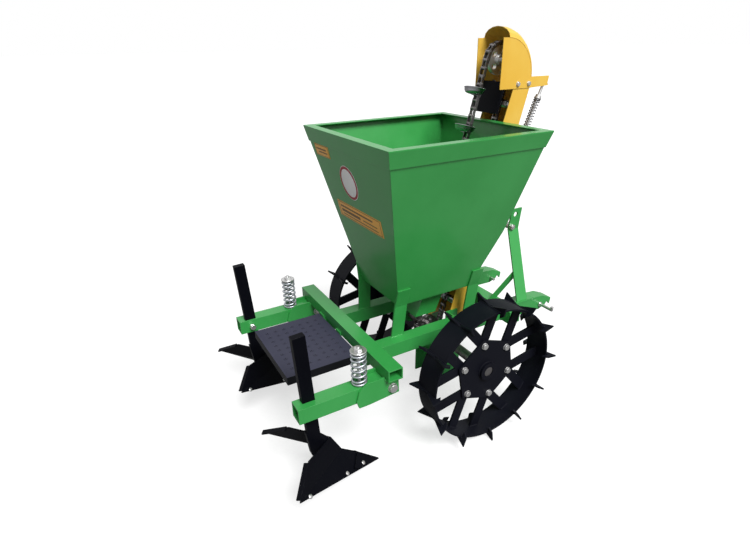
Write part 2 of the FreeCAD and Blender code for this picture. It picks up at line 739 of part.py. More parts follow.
right_cheek = fuse([opener_wall, tie, hanger]).cut(boss_hole)
add("furrow_opener", fuse([right_cheek, mirror(right_cheek), nose]))

# ---- wheels and axle ----
wheel_x = track / 2
rim_out = wheel_x + rim_width / 2
rim_in = wheel_x - rim_width / 2
rim_hole = rim_radius - rim_wall
centre = V(rim_in, 0, axle_z)
rim = rod(rim_radius, centre, AX, rim_width).cut(rod(rim_hole, centre, AX, rim_width))
add("wheel_rim_right", rim)
add("wheel_rim_left", mirror(rim))


def lug(turn, side):
    """Pointed spade on one edge of the rim, standing across the tread."""
    edge = wheel_x + side * rim_width / 2
    outline = [V(edge - side * lug_foot, 0, rim_radius), V(edge + side * lug_reach, 0,
                                                           rim_radius + lug_reach),
               V(edge + side * lug_reach * 0.75, 0, rim_radius - lug_reach * 0.4),
               V(edge, 0, rim_radius - lug_reach), V(edge, 0, rim_radius)]
    spade = slab([p - V(0, lug_thick / 2, 0) for p in outline], V(0, lug_thick, 0))
    spade.rotate(V(0, 0, 0), AX, turn)
    spade.translate(V(0, 0, axle_z))
    return spade


lugs = []
for k in range(lug_count):
    for side in (-1, 1):
        lugs.append(lug(360.0 / lug_count * k, side).cut(
            rod(rim_radius, centre, AX, rim_width)))
add("wheel_lugs_right", *lugs)
add("wheel_lugs_left", *[mirror(s) for s in lugs])

spoke_x = wheel_x - spoke_thick / 2 - 6.0
offset = wheel_bolt_circle / 2
bars = []
for k in range(wheel_bolt_count):
    turn = wheel_bolt_phase - 30.0 + 360.0 / wheel_bolt_count * k
    bar = box(spoke_x, spoke_x + spoke_thick, -rim_radius, rim_radius,
              offset - spoke_width / 2, offset + spoke_width / 2)
    bar.rotate(V(0, 0, 0), AX, turn)
    bars.append(bar)
spokes = fuse(bars)
spokes.translate(V(0, 0, axle_z))
spokes = spokes.common(rod(rim_hole, centre, AX, rim_width))
hub_plate_thick = 8.0
hub_inradius = wheel_bolt_circle + 6.0
hub_corner = hub_inradius / math.cos(math.radians(30))
hub_face = [V(spoke_x + spoke_thick, hub_corner * math.cos(math.radians(wheel_bolt_phase + 60 * k)),
              axle_z + hub_corner * math.sin(math.radians(wheel_bolt_phase + 60 * k)))
            for k in range(6)]
hub = face_of(hub_face).extrude(V(hub_plate_thick, 0, 0))
boss_out = spoke_x + spoke_thick + hub_plate_thick + 12.0
boss_in = spoke_x - 34.0
hub = fuse([hub, rod(boss_radius, V(boss_in, 0, axle_z), AX, boss_out - boss_in)])
axle_bore = rod(axle_radius, V(-track, 0, axle_z), AX, 2 * track)
hub = hub.cut(axle_bore)
spokes = spokes.cut(rod(boss_radius, centre, AX, rim_width))
wheel_bolts = []
for k in range(wheel_bolt_count):
    turn = math.radians(wheel_bolt_phase + 360.0 / wheel_bolt_count * k)
    y = wheel_bolt_circle * math.cos(turn)
    z = axle_z + wheel_bolt_circle * math.sin(turn)
    hole = rod(6.0, V(rim_in, y, z), AX, rim_width)
    hub = hub.cut(hole)
    spokes = spokes.cut(hole)
    screw = bolt(6.0, V(spoke_x + spoke_thick + hub_plate_thick, y, z), V(-1, 0, 0),
                 spoke_thick + hub_plate_thick)
    wheel_bolts += [screw, mirror(screw)]
add("wheel_spokes", spokes, mirror(spokes))
add("wheel_hubs", hub, mirror(hub))
add("wheel_bolts", *wheel_bolts)
axle = rod(axle_radius, V(-boss_out + 2.0, 0, axle_z), AX, 2 * boss_out - 4.0)
add("axle", axle)

# ---- sprung arms between pivot plates ----
arm_x0 = arm_spacing / 2 - tube / 2
arm_x1 = arm_spacing / 2 + tube / 2
play = 0.4
strap_y = pivot_y - spring_behind
strap_half = 15.0
tail = strap_y - strap_half - 4.0
pivot_outline = [(beam_front - 4.0, rail_top), (beam_rear, rail_top), (beam_rear - 2.0, rail_top + 9.0),
                 (strap_y + 8.0, rail_top + 9.0), (tail + 2.0, rail_top - 12.0),
                 (tail - 8.0, arm_low + 8.0), (tail, arm_low - 16.0), (strap_y + strap_half + 2.0,
                                                                     arm_low - 16.0),
                 (beam_front - 2.0, arm_low - 8.0)]
pivot_hole = rod(pivot_radius, V(0, pivot_y, pivot_z), AX, beam_length)
outer_plate = plate_x(pivot_outline, arm_x1 + play, arm_x1 + play + plate_thick)
inner_plate = plate_x(pivot_outline, arm_x0 - play - plate_thick, arm_x0 - play)
strap = box(arm_x0 - play, arm_x1 + play, strap_y - strap_half, strap_y + strap_half,
            arm_low - 12.0, arm_low)
rod_radius = 6.0
hanger_set = fuse([outer_plate, inner_plate, strap]).cut(pivot_hole)
hanger_set = hanger_set.cut(rod(rod_radius, V(arm_spacing / 2, strap_y, 0), AZ, rail_top))
add("pivot_plates_right", hanger_set)
add("pivot_plates_left", mirror(hanger_set))
arm_bolt = bolt(pivot_radius, V(arm_x1 + play + plate_thick, pivot_y, pivot_z), V(-1, 0, 0),
                tube + 2 * (play + plate_thick))
add("pivot_bolts", arm_bolt, mirror(arm_bolt))

spring_low = arm_top
spring_high = spring_low + spring_length
washer = 5.0
spring_bolt = fuse([rod(rod_radius, V(arm_spacing / 2, strap_y, arm_low - 30.0), AZ,
                        spring_high - arm_low + 30.0 + washer),
                    rod(spring_radius + spring_wire, V(arm_spacing / 2, strap_y, spring_high),
                        AZ, washer),
                    hex_bar(24.0, V(arm_spacing / 2, strap_y, spring_high + washer), AZ, 10.0),
                    hex_bar(22.0, V(arm_spacing / 2, strap_y, arm_low - 22.0), AZ, 10.0)])
add("spring_bolts", spring_bolt, mirror(spring_bolt))
spring = coil(spring_radius, 2 * spring_wire, spring_low, spring_high, spring_turns,
              arm_spacing / 2, strap_y)
add("arm_spring_right", spring)
add("arm_spring_left", mirror(spring))

shank_y = pivot_y - shank_behind
tilt = math.radians(shank_lean)
mid_z = (arm_low + arm_top) / 2


def shank_bar(grow, low, high):
    """Leaning square bar, seated through the arm at its middle height."""
    bar = box(shank_x - shank_thick / 2 - grow, shank_x + shank_thick / 2 + grow,
              shank_y - shank_width / 2 - grow, shank_y + shank_width / 2 + grow,
              mid_z + low, mid_z + high)
    bar.rotate(V(shank_x, shank_y, mid_z), AX, shank_lean)
    return bar


arm = square_tube(arm_x0, arm_x1, arm_rear, arm_front, arm_low, arm_top, "Y")
arm = arm.fuse(rod(1.7 * pivot_radius, V(arm_x0, pivot_y, pivot_z), AX, tube))
arm = arm.cut(rod(pivot_radius + 0.05, V(0, pivot_y, pivot_z), AX, beam_length))
rod_slot = box(arm_spacing / 2 - rod_radius - 2, arm_spacing / 2 + rod_radius + 2,
               strap_y - rod_radius - 7, strap_y + rod_radius + 7, arm_low - 1, arm_top + 1)
clamp_y = shank_y
arm = arm.cut(rod_slot)
arm = arm.cut(shank_bar(0.4, -tube, tube))
clamp_hole = rod(5.0, V(0, clamp_y, mid_z), AX, arm_x0 + tube / 2)
arm = arm.cut(clamp_hole)
add("arm_right", arm)
add("arm_left", mirror(arm))
clamp = fuse([rod(5.0, V(arm_x0 - 18.0, clamp_y, mid_z), AX,
                  18.0 + shank_x - shank_thick / 2 - arm_x0),
              hex_bar(18.0, V(arm_x0 - 18.0, clamp_y, mid_z), AX, 8.0),
              hex_bar(18.0, V(arm_x0 - 7.0, clamp_y, mid_z), AX, 7.0)])
add("clamp_bolt_right", clamp)
add("clamp_bolt_left", mirror(clamp))

# ---- ridgers: shank, frog, two wings, a share, bolts ----
nose_z = 0.0


def wing_spot(x, back, rise):
    return V(shank_x + x, nose_y - back, nose_z + rise)


nose_tip = wing_spot(0, 0, 0)
ridge_top = wing_spot(0, ridge_length, ridge_rise)
tip_low = wing_spot(wing_spread / 2, wing_length, wing_rise)
tip_high = wing_spot(wing_top_spread / 2, wing_top_length, wing_top_rise)
ridge_bend = wing_spot(0, ridge_bend_length, ridge_bend_rise)


def outward_normal(a, b, c):
    """Unit normal of a wing facet, on its soil side."""
    normal = (b - a).cross(c - a).normalize()
    return normal if normal.x > 0 else V(normal).multiply(-1)


low_normal = outward_normal(nose_tip, ridge_bend, tip_low)
high_normal = outward_normal(ridge_bend, ridge_top, tip_low)


def dropped(point, base, normal):
    """Point moved square onto a facet's plane."""
    return point - V(normal).multiply((point - base).dot(normal))


def about_shank(shape):
    """Mirror image across the ridger's own middle plane."""
    return shape.mirror(V(shank_x, 0, 0), AX)


def facet(points, base, normal, thick, lift):
    up = V(normal).multiply(lift)
    plate = slab([dropped(p, base, normal) + up for p in points],
                 V(normal).multiply(-thick))
    return keep_behind(plate, V(shank_x, 0, 0), V(-1, 0, 0))


edge = (tip_high - tip_low).normalize()
outward = edge.cross(high_normal).normalize()
outward = outward if outward.y < 0 else V(outward).multiply(-1)
flange_ends = [dropped(tip_low + edge * 6.0, ridge_bend, high_normal),
               dropped(tip_high - edge * 6.0, ridge_bend, high_normal)]
flange = slab([flange_ends[0], flange_ends[1], flange_ends[1] + outward * wing_thick,
               flange_ends[0] + outward * wing_thick],
              V(high_normal).multiply(-3.0 * wing_thick))
wing = fuse([facet([nose_tip, ridge_bend, tip_low], nose_tip, low_normal, wing_thick, 0),
             facet([ridge_bend, ridge_top, tip_high, tip_low], ridge_bend, high_normal,
                   wing_thick, 0), flange])
wing_pair = [wing, about_shank(wing)]
along_low = tip_low - nose_tip
along_ridge = ridge_bend - nose_tip
share_corner = nose_tip + along_low * 0.26
share_back = nose_tip + along_low * 0.30 + along_ridge * 0.12
share_top = nose_tip + along_ridge * 0.62
share = facet([nose_tip, share_top, share_back, share_corner], nose_tip, low_normal,
              wing_thick, wing_thick)
share_pair = fuse([share, about_shank(share)])

frog = plate_x([(shank_y - shank_width / 2, mid_z - tube / 2 - shank_down + 26.0),
                (shank_y + shank_width / 2, mid_z - tube / 2 - shank_down + 26.0),
                (shank_y + shank_width / 2 + 3.0, mid_z - tube / 2 - shank_down + 4.0),
                (ridge_top.y, ridge_top.z), (ridge_bend.y, ridge_bend.z),
                (nose_y - 0.4 * ridge_bend_length, 0.4 * ridge_bend_rise),
                (nose_y - 0.6 * ridge_bend_length, 0.35 * ridge_bend_rise),
                (shank_y - 0.2 * shank_width, mid_z - tube / 2 - shank_down - 60.0)],
               shank_x - shank_thick / 2, shank_x + shank_thick / 2)


def under_wings(shape, base, normal):
    """Part of a shape below one pair of facets."""
    inner = base - V(normal).multiply(wing_thick)
    shape = keep_behind(shape, inner, normal)
    return keep_behind(shape, V(2 * shank_x - inner.x, inner.y, inner.z),
                       V(-normal.x, normal.y, normal.z))


shank = shank_bar(0, -tube / 2 - shank_down, tube / 2 + shank_up)
shank = fuse([shank, under_wings(frog, nose_tip, low_normal),
              under_wings(frog, ridge_bend, high_normal)])
add("shank_right", shank)
add("shank_left", mirror(shank))
add("wings_right", *wing_pair)
add("wings_left", *[mirror(s) for s in wing_pair])
add("share_right", share_pair)
add("share_left", mirror(share_pair))
bolts = []
for low_part, ridge_part, lift in ((0.16, 0.16, wing_thick), (0.40, 0.10, 0), (0.88, 0.04, 0)):
    spot = nose_tip + along_low * low_part + along_ridge * ridge_part
    head_at = dropped(spot, nose_tip, low_normal) + V(low_normal).multiply(lift)
    head = rod(7.0, head_at, low_normal, 3.5)
    bolts += [head, about_shank(head)]
add("ridger_bolts_right", *bolts)
add("ridger_bolts_left", *[mirror(s) for s in bolts])

# ---- footboard behind the beam ----
board_front = beam_rear - 6.0
board_rear = board_front - board_length
board_top = rail_top + 5.0
board_skin = 2.5
board = box(-board_width / 2, board_width / 2, board_rear, board_front,
            board_top - board_fold, board_top)
board = board.cut(box(-board_width / 2 + board_skin, board_width / 2 - board_skin,
                      board_rear + board_skin, board_front - board_skin,
                      board_top - board_fold - 1, board_top - board_skin))
columns = int((board_width - hole_pitch) / hole_pitch)
rows = int((board_length - hole_pitch) / hole_pitch)
for i in range(columns):
    for j in range(rows):
        x = (i - (columns - 1) / 2) * hole_pitch
        y = (board_front + board_rear) / 2 + (j - (rows - 1) / 2) * hole_pitch
        board = board.cut(rod(hole_radius, V(x, y, board_top - 2 * board_skin), AZ,
                              4 * board_skin))
add("footboard", board)
tabs = []
for x in (-board_width / 2 + 20.0, 0.0, board_width / 2 - 20.0):
    tabs.append(box(x - 18.0, x + 18.0, board_front, beam_rear, board_top - board_fold + 4,
                    board_top + 8.0))
# two flat bars from the rails carry the board from below
carrier = box(rail_x0 + 8.0, rail_x0 + 32.0, board_rear + board_skin, beam_rear,
              board_top - board_fold - 6.0, board_top - board_fold)
carrier = fuse([carrier, box(rail_x0 + 8.0, rail_x0 + 32.0, beam_rear - 6.0, beam_rear,
                             rail_low + tube_wall, board_top - board_fold)])
add("footboard_brackets", *(tabs + [carrier, mirror(carrier)]))

# ---- export ----
os.makedirs("parts", exist_ok=True)
for name, shape in nodes.items():
    shape.translate(V(0, shift_y, 0))
    shape.exportStep("parts/" + name + ".step")
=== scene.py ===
import json
import math
import bmesh
import bpy
from mathutils import Matrix, Vector


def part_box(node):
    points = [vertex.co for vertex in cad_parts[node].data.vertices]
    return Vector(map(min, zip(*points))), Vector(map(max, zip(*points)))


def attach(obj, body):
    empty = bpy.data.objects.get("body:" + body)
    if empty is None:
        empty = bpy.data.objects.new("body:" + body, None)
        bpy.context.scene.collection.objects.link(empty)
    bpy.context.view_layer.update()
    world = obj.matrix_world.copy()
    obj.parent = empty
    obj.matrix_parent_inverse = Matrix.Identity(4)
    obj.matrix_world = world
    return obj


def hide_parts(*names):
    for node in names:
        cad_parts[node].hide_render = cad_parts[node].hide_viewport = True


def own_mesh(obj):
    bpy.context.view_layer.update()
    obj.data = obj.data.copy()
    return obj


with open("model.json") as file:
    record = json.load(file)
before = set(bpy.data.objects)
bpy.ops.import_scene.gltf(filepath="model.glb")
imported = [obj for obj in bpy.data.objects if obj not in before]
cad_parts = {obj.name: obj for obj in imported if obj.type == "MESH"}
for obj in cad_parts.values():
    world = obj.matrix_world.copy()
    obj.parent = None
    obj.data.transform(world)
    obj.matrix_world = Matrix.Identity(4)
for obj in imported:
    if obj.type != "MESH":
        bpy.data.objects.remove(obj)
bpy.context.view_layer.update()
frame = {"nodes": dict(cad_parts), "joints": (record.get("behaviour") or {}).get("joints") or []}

node = frame["nodes"]
joint = {entry["name"]: entry for entry in frame["joints"]}


# ---- Studio ----
# A pale floor, a broad sun-like lamp from the right and above, and a weak even sky. The camera
# stands behind the machine, to its right. The floor gives back little light from below.
def deselect():
    bpy.ops.object.select_all(action="DESELECT")


def joined(tree, kind, inputs=None, **settings):
    """A shader node with its settings; each input is a value or another node's socket."""
    made = tree.nodes.new(kind)
    for name, value in settings.items():
        setattr(made, name, value)
    for name, value in (inputs or {}).items():
        if isinstance(value, bpy.types.NodeSocket):
            tree.links.new(value, made.inputs[name])
        else:
            made.inputs[name].default_value = value
    return made


floor_size = 200.0
seen_floor, dim_floor, floor_lift = 0.42, 0.30, 0.66
deselect()
bpy.ops.mesh.primitive_plane_add(size=floor_size, location=(0.0, 0.0, 0.0))
floor = bpy.context.object
floor.name = "studio_floor"
floor_paint = bpy.data.materials.new("studio_floor")
floor_paint.use_nodes = True
tree = floor_paint.node_tree
shader = tree.nodes["Principled BSDF"]
seen = joined(tree, "ShaderNodeLightPath").outputs["Is Camera Ray"]
where = joined(tree, "ShaderNodeTexCoord")
mottle = joined(tree, "ShaderNodeTexNoise", {"Vector": where.outputs["Object"], "Scale": 3.0})
tone = joined(tree, "ShaderNodeMapRange", {"Value": seen, "To Min": dim_floor,
                                           "To Max": seen_floor})
tone = joined(tree, "ShaderNodeMath", {0: mottle.outputs["Fac"], 1: 0.01,
                                       2: tone.outputs["Result"]}, operation="MULTIPLY_ADD")
tree.links.new(tone.outputs["Value"], shader.inputs["Base Color"])
lift = joined(tree, "ShaderNodeMath", {0: seen, 1: floor_lift}, operation="MULTIPLY")
tree.links.new(lift.outputs["Value"], shader.inputs["Emission Strength"])
shader.inputs["Emission Color"].default_value = (1.0, 1.0, 1.0, 1.0)
shader.inputs["Roughness"].default_value = 0.9
shader.inputs["Specular IOR Level"].default_value = 0.1
floor.data.materials.append(floor_paint)

sky_light, sky_mirrored, sky_seen = 0.23, 0.92, 1.0
sky = bpy.context.scene.world or bpy.data.worlds.new("studio")
bpy.context.scene.world = sky
sky.use_nodes = True
tree = sky.node_tree
ray = joined(tree, "ShaderNodeLightPath").outputs
mirrored = joined(tree, "ShaderNodeMapRange", {"Value": ray["Is Glossy Ray"],
                                               "To Min": sky_light, "To Max": sky_mirrored})
bright = joined(tree, "ShaderNodeMapRange", {"Value": ray["Is Camera Ray"],
                                             "To Min": mirrored.outputs["Result"],
                                             "To Max": sky_seen})
tree.nodes["Background"].inputs["Color"].default_value = (1.0, 1.0, 1.0, 1.0)
tree.links.new(bright.outputs["Result"], tree.nodes["Background"].inputs["Strength"])

sun_strength, sun_spread, sun_heading = 4.15, 28.0, Vector((-0.62, -0.02, -0.78))
bpy.ops.object.light_add(type="SUN", location=(3.0, 0.4, 4.0))
sun = bpy.context.object
sun.name = "key_sun"
sun.data.energy = sun_strength
sun.data.angle = math.radians(sun_spread)
sun.rotation_euler = sun_heading.to_track_quat("-Z", "Y").to_euler()

turn_round, look_down, roll = math.radians(59.792), math.radians(26.548), math.radians(-0.823)
camera_at = (1.3756, -0.8640, 1.2507)
film_width, lens_length, lens_right, lens_up = 36.0, 23.96, -0.0159, 0.0225
back = Vector((math.sin(turn_round) * math.cos(look_down),
               -math.cos(turn_round) * math.cos(look_down), math.sin(look_down)))
bpy.ops.object.camera_add(location=camera_at)
camera = bpy.context.object
camera.rotation_mode = "QUATERNION"
level = (-back).to_track_quat("-Z", "Y")
camera.rotation_quaternion = level @ Matrix.Rotation(roll, 4, "Z").to_quaternion()
camera.data.sensor_width = film_width
camera.data.lens = lens_length
camera.data.shift_x = lens_right
camera.data.shift_y = lens_up
bpy.context.scene.camera = camera
bpy.context.scene.view_settings.view_transform = "Standard"

# ---- Frame tubes, legs and hopper sheet ----
# Square steel tube and folded sheet, welded and then sprayed in green enamel. The enamel is
# thin on the edges, a little faded in patches, and dusty where it faces up or lies low.


def group_with(name, wants, gives):
    """An empty shader group with named sockets, and its two end nodes."""
    group = bpy.data.node_groups.new(name, "ShaderNodeTree")
    for label, kind, start in wants:
        socket = group.interface.new_socket(label, in_out="INPUT", socket_type=kind)
        socket.default_value = start
    for label, kind in gives:
        group.interface.new_socket(label, in_out="OUTPUT", socket_type=kind)
    return group, group.nodes.new("NodeGroupInput").outputs, group.nodes.new("NodeGroupOutput")


COLOUR, NUMBER, VECTOR = "NodeSocketColor", "NodeSocketFloat", "NodeSocketVector"
paint_group, want, give = group_with(
    "worn_paint",
    (("Paint", COLOUR, (0.1, 0.3, 0.1, 1)), ("Faded", COLOUR, (0.2, 0.4, 0.2, 1)),
     ("Bare", COLOUR, (0.3, 0.3, 0.3, 1)), ("Dirt", COLOUR, (0.2, 0.15, 0.1, 1)),
     ("Edge", NUMBER, 0.0015), ("Wear", NUMBER, 0.5), ("Soil", NUMBER, 0.3),
     ("Soil Height", NUMBER, 0.3), ("Gloss", NUMBER, 0.3)),
    (("Color", COLOUR), ("Roughness", NUMBER), ("Metallic", NUMBER), ("Height", NUMBER),
     ("Round", VECTOR)))


def maths(tree, operation, a, b=0.0, clamp=False):
    """One arithmetic step in a shader tree."""
    step = tree.nodes.new("ShaderNodeMath")
    step.operation = operation
    step.use_clamp = clamp
    for slot_number, value in ((0, a), (1, b)):
        if isinstance(value, bpy.types.NodeSocket):
            tree.links.new(value, step.inputs[slot_number])
        else:
            step.inputs[slot_number].default_value = value
    return step.outputs[0]


def between(tree, value, low, high):
    """0 at the low value, 1 at the high one, smooth between."""
    ramp = joined(tree, "ShaderNodeMapRange", {"Value": value, "From Min": low,
                                               "From Max": high},
                  interpolation_type="SMOOTHSTEP")
    return ramp.outputs["Result"]


def blended(tree, amount, first, second):
    """A colour mixed from two by an amount."""
    mixed = joined(tree, "ShaderNodeMix", {"Factor": amount}, data_type="RGBA")
    for slot_name, colour in (("A", first), ("B", second)):
        socket = [s for s in mixed.inputs if s.name == slot_name and s.type == "RGBA"][0]
        if isinstance(colour, bpy.types.NodeSocket):
            tree.links.new(colour, socket)
        else:
            socket.default_value = colour
    return [s for s in mixed.outputs if s.type == "RGBA"][0]


def noise(tree, at, scale, detail=3.0, rough=0.55):
    return joined(tree, "ShaderNodeTexNoise", {"Vector": at, "Scale": scale, "Detail": detail,
                                               "Roughness": rough}).outputs["Fac"]


g = paint_group
at = joined(g, "ShaderNodeTexCoord").outputs["Object"]
stretched = joined(g, "ShaderNodeMapping", {"Vector": at, "Scale": (1.0, 1.0, 0.12),
                                            "Rotation": (0.3, 0.4, 0.0)}).outputs["Vector"]
surface = joined(g, "ShaderNodeNewGeometry")
rounded = joined(g, "ShaderNodeBevel", {"Radius": want["Edge"]}, samples=4).outputs["Normal"]
bend_away = joined(g, "ShaderNodeVectorMath", {0: rounded, 1: surface.outputs["Normal"]},
                   operation="DOT_PRODUCT").outputs["Value"]
edge = between(g, maths(g, "SUBTRACT", 1.0, bend_away), 0.02, 0.22)
chips = between(g, noise(g, at, 90.0, 5.0), 0.46, 0.60)
scratch = between(g, noise(g, stretched, 120.0, 4.0, 0.7), 0.66, 0.72)
scuffs = maths(g, "MULTIPLY", scratch, between(g, noise(g, at, 9.0, 2.0), 0.55, 0.75))
bare = maths(g, "MULTIPLY", maths(g, "ADD", maths(g, "MULTIPLY", edge, chips),
                                  maths(g, "MULTIPLY", scuffs, 0.6)), want["Wear"], True)
height_z = joined(g, "ShaderNodeSeparateXYZ", {"Vector": at}).outputs["Z"]
up = joined(g, "ShaderNodeSeparateXYZ", {"Vector": surface.outputs["Normal"]}).outputs["Z"]
low_down = joined(g, "ShaderNodeMapRange", {"Value": height_z, "From Min": want["Soil Height"],
                                            "From Max": 0.0}).outputs["Result"]
clods = between(g, noise(g, at, 26.0, 6.0, 0.65), 0.40, 0.66)
dusty = maths(g, "MULTIPLY", between(g, up, 0.5, 0.95), between(g, noise(g, at, 7.0, 5.0),
                                                                0.42, 0.75))
soil = maths(g, "MULTIPLY", maths(g, "ADD", maths(g, "MULTIPLY", low_down, clods),
                                  maths(g, "MULTIPLY", dusty, 0.30)), want["Soil"], True)
tint = blended(g, between(g, noise(g, at, 3.5, 5.0), 0.35, 0.70), want["Paint"], want["Faded"])
streaks = maths(g, "MULTIPLY", between(g, noise(g, stretched, 30.0, 3.0), 0.45, 0.8), 0.18)
tint = blended(g, streaks, tint, want["Faded"])
tint = blended(g, bare, tint, want["Bare"])
tint = blended(g, soil, tint, want["Dirt"])
peel = noise(g, at, 420.0, 2.0)
polish = maths(g, "ADD", want["Gloss"], maths(g, "MULTIPLY", noise(g, at, 14.0, 4.0), 0.16))
polish = maths(g, "ADD", polish, maths(g, "MULTIPLY", bare, 0.12))
polish = maths(g, "ADD", polish, maths(g, "MULTIPLY", soil, 0.5), True)
relief = maths(g, "SUBTRACT", maths(g, "MULTIPLY", peel, 0.35), maths(g, "MULTIPLY", bare, 0.6))
relief = maths(g, "ADD", relief, maths(g, "MULTIPLY", maths(g, "MULTIPLY", soil, clods), 1.4))
for label, value in (("Color", tint), ("Roughness", polish),
                     ("Metallic", maths(g, "MULTIPLY", bare, maths(g, "SUBTRACT", 1.0, soil))),
                     ("Height", relief), ("Round", rounded)):
    g.links.new(value, give.inputs[label])


def painted(name, paint, faded, bare_metal, dirt, edge_width, wear, soiled, soil_height,
            gloss, bump=0.25, coat=0.0, shine=0.3):
    """A painted finish: the worn paint group with this paint's own values."""
    made = bpy.data.materials.new(name)
    made.use_nodes = True
    tree = made.node_tree
    shader = tree.nodes["Principled BSDF"]
    worn = joined(tree, "ShaderNodeGroup", node_tree=paint_group)
    for label, value in (("Paint", paint), ("Faded", faded), ("Bare", bare_metal),
                         ("Dirt", dirt)):
        worn.inputs[label].default_value = (*value, 1.0)
    for label, value in (("Edge", edge_width), ("Wear", wear), ("Soil", soiled),
                         ("Soil Height", soil_height), ("Gloss", gloss)):
        worn.inputs[label].default_value = value
    for label in ("Color", "Roughness", "Metallic"):
        tree.links.new(worn.outputs[label],
                       shader.inputs["Base Color" if label == "Color" else label])
    raised = joined(tree, "ShaderNodeBump", {"Strength": bump, "Distance": 0.0008,
                                             "Height": worn.outputs["Height"],
                                             "Normal": worn.outputs["Round"]})
    tree.links.new(raised.outputs["Normal"], shader.inputs["Normal"])
    shader.inputs["Specular IOR Level"].default_value = shine
    shader.inputs["Coat Weight"].default_value = coat
    shader.inputs["Coat Roughness"].default_value = 0.12
    return made


def finish_with(material, *names):
    """Gives CAD nodes a finish."""
    for name in names:
        node[name].data.materials.clear()
        node[name].data.materials.append(material)


def solids_of(name):
    """Low and high corner, widest flat's normal and vertices of each solid of a CAD node."""
    shell = bmesh.new()
    shell.from_mesh(node[name].data)
    bmesh.ops.remove_doubles(shell, verts=shell.verts, dist=1e-6)
    left, found = set(shell.verts), []
    while left:
        island, edge_on = set(), [left.pop()]
        while edge_on:
            vertex = edge_on.pop()
            island.add(vertex)
            near = {e.other_vert(vertex) for e in vertex.link_edges} & left
            left -= near
            edge_on += near
        spots = [v.co.copy() for v in island]
        low = Vector([min(s[k] for s in spots) for k in range(3)])
        high = Vector([max(s[k] for s in spots) for k in range(3)])
        widest = max({f for v in island for f in v.link_faces}, key=lambda f: f.calc_area())
        found.append((low, high, widest.normal.copy(), spots))
    shell.free()
    return sorted(found, key=lambda solid: [round(c, 4) for c in solid[0]])


def settled(piece, place, direction=(0, 0, 1), turn=0.0):
    """Moves a mesh made about the origin to its place, its +Z along a direction."""
    aim = Vector(direction).to_track_quat("Z", "Y").to_matrix().to_4x4()
    piece.data.transform(Matrix.Translation(place) @ aim @ Matrix.Rotation(turn, 4, "Z"))
    return piece


def twin_of(piece):
    """A copy with its own mesh."""
    twin = piece.copy()
    twin.data = piece.data.copy()
    bpy.context.collection.objects.link(twin)
    return twin


def merged(parts):
    """Several parts as one mesh."""
    deselect()
    for part in parts:
        part.select_set(True)
    bpy.context.view_layer.objects.active = parts[0]
    if len(parts) > 1:
        bpy.ops.object.join()
    return bpy.context.object


def one_piece(name, parts, material, body="frame", smooth=38.0):
    """Joins parts into one named piece with its finish, riding on a body."""
    whole = merged(parts)
    whole.name = whole.data.name = name
    whole.data.materials.clear()
    whole.data.materials.append(material)
    bpy.ops.object.shade_smooth_by_angle(angle=math.radians(smooth))
    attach(whole, body)
    return whole


dry_soil = (0.20, 0.15, 0.10)
green = painted("green_enamel", paint=(0.026, 0.275, 0.052), faded=(0.038, 0.315, 0.068),
                bare_metal=(0.22, 0.26, 0.21), dirt=dry_soil, edge_width=0.0016, wear=0.20,
                soiled=0.10, soil_height=0.12, gloss=0.30, bump=0.12, coat=0.22, shine=0.42)
finish_with(green, "rail_right", "rail_left", "crossbar", "rear_beam", "axle_bearings",
            "hopper_legs", "hopper_panel_right", "hopper_panel_left", "hopper_panel_front",
            "hopper_panel_rear", "hopper_rim", "hopper_floor", "mast_bar_right",
            "mast_bar_left", "mast_braces", "hitch_bracket_right", "hitch_bracket_left",
            "pivot_plates_right", "pivot_plates_left", "arm_right", "arm_left",
            "furrow_opener", "footboard_brackets")

# ---- Weld beads on the frame ----
# Steel filler run along the joints of the tubes by hand, in small overlapping ripples, and
# painted over with the frame.
ripple_step = 0.0042
ripple_high = 0.0030


def weld(start, end, high=ripple_high):
    """A run of overlapping ripples from one point to another."""
    deselect()
    bpy.ops.mesh.primitive_uv_sphere_add(segments=8, ring_count=5, radius=1.0)
    bead = bpy.context.object
    run = Vector(end) - Vector(start)
    bead.data.transform(Matrix.Diagonal((0.85 * ripple_step, high, high, 1.0)))
    row = bead.modifiers.new("row", "ARRAY")
    row.count = max(2, round(run.length / ripple_step))
    row.use_relative_offset = False
    row.use_constant_offset = True
    row.constant_offset_displace = (ripple_step, 0.0, 0.0)
    bpy.ops.object.modifier_apply(modifier="row")
    bead.data.transform(Matrix.Translation(start)
                        @ run.to_track_quat("X", "Z").to_matrix().to_4x4())
    return bead


beads = []
beam_low, beam_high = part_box("rear_beam")
bar_low, bar_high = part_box("crossbar")
for side in ("right", "left"):
    low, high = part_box("rail_" + side)
    beads += [weld((low.x, y, high.z), (high.x, y, high.z)) for y in (low.y, beam_high.y)]
    beads += [weld((x, high.y, low.z), (x, high.y, high.z)) for x in (low.x, high.x)]
    bracket_low, bracket_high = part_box("hitch_bracket_" + side)
    beads += [weld((bracket_low.x, bar_high.y, bracket_high.z - 0.008),
                   (bracket_high.x, bar_high.y, bracket_high.z - 0.008))]
    beads += [weld((x, bar_high.y, bar_low.z), (x, bar_high.y, bar_high.z))
              for x in (bracket_low.x, bracket_high.x)]
    plates_low, plates_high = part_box("pivot_plates_" + side)
    beads += [weld((x, beam_low.y, beam_low.z), (x, beam_high.y, beam_low.z))
              for x in (plates_low.x, plates_high.x)]
for low, high, flat, spots in solids_of("hopper_legs"):
    foot = [spot for spot in spots if spot.z < low.z + 0.001]
    back, front = min(spot.y for spot in foot), max(spot.y for spot in foot)
    for x in (min(spot.x for spot in foot), max(spot.x for spot in foot)):
        beads.append(weld((x, back, low.z), (x, front, low.z)))
one_piece("frame_welds", beads, green, smooth=70.0)

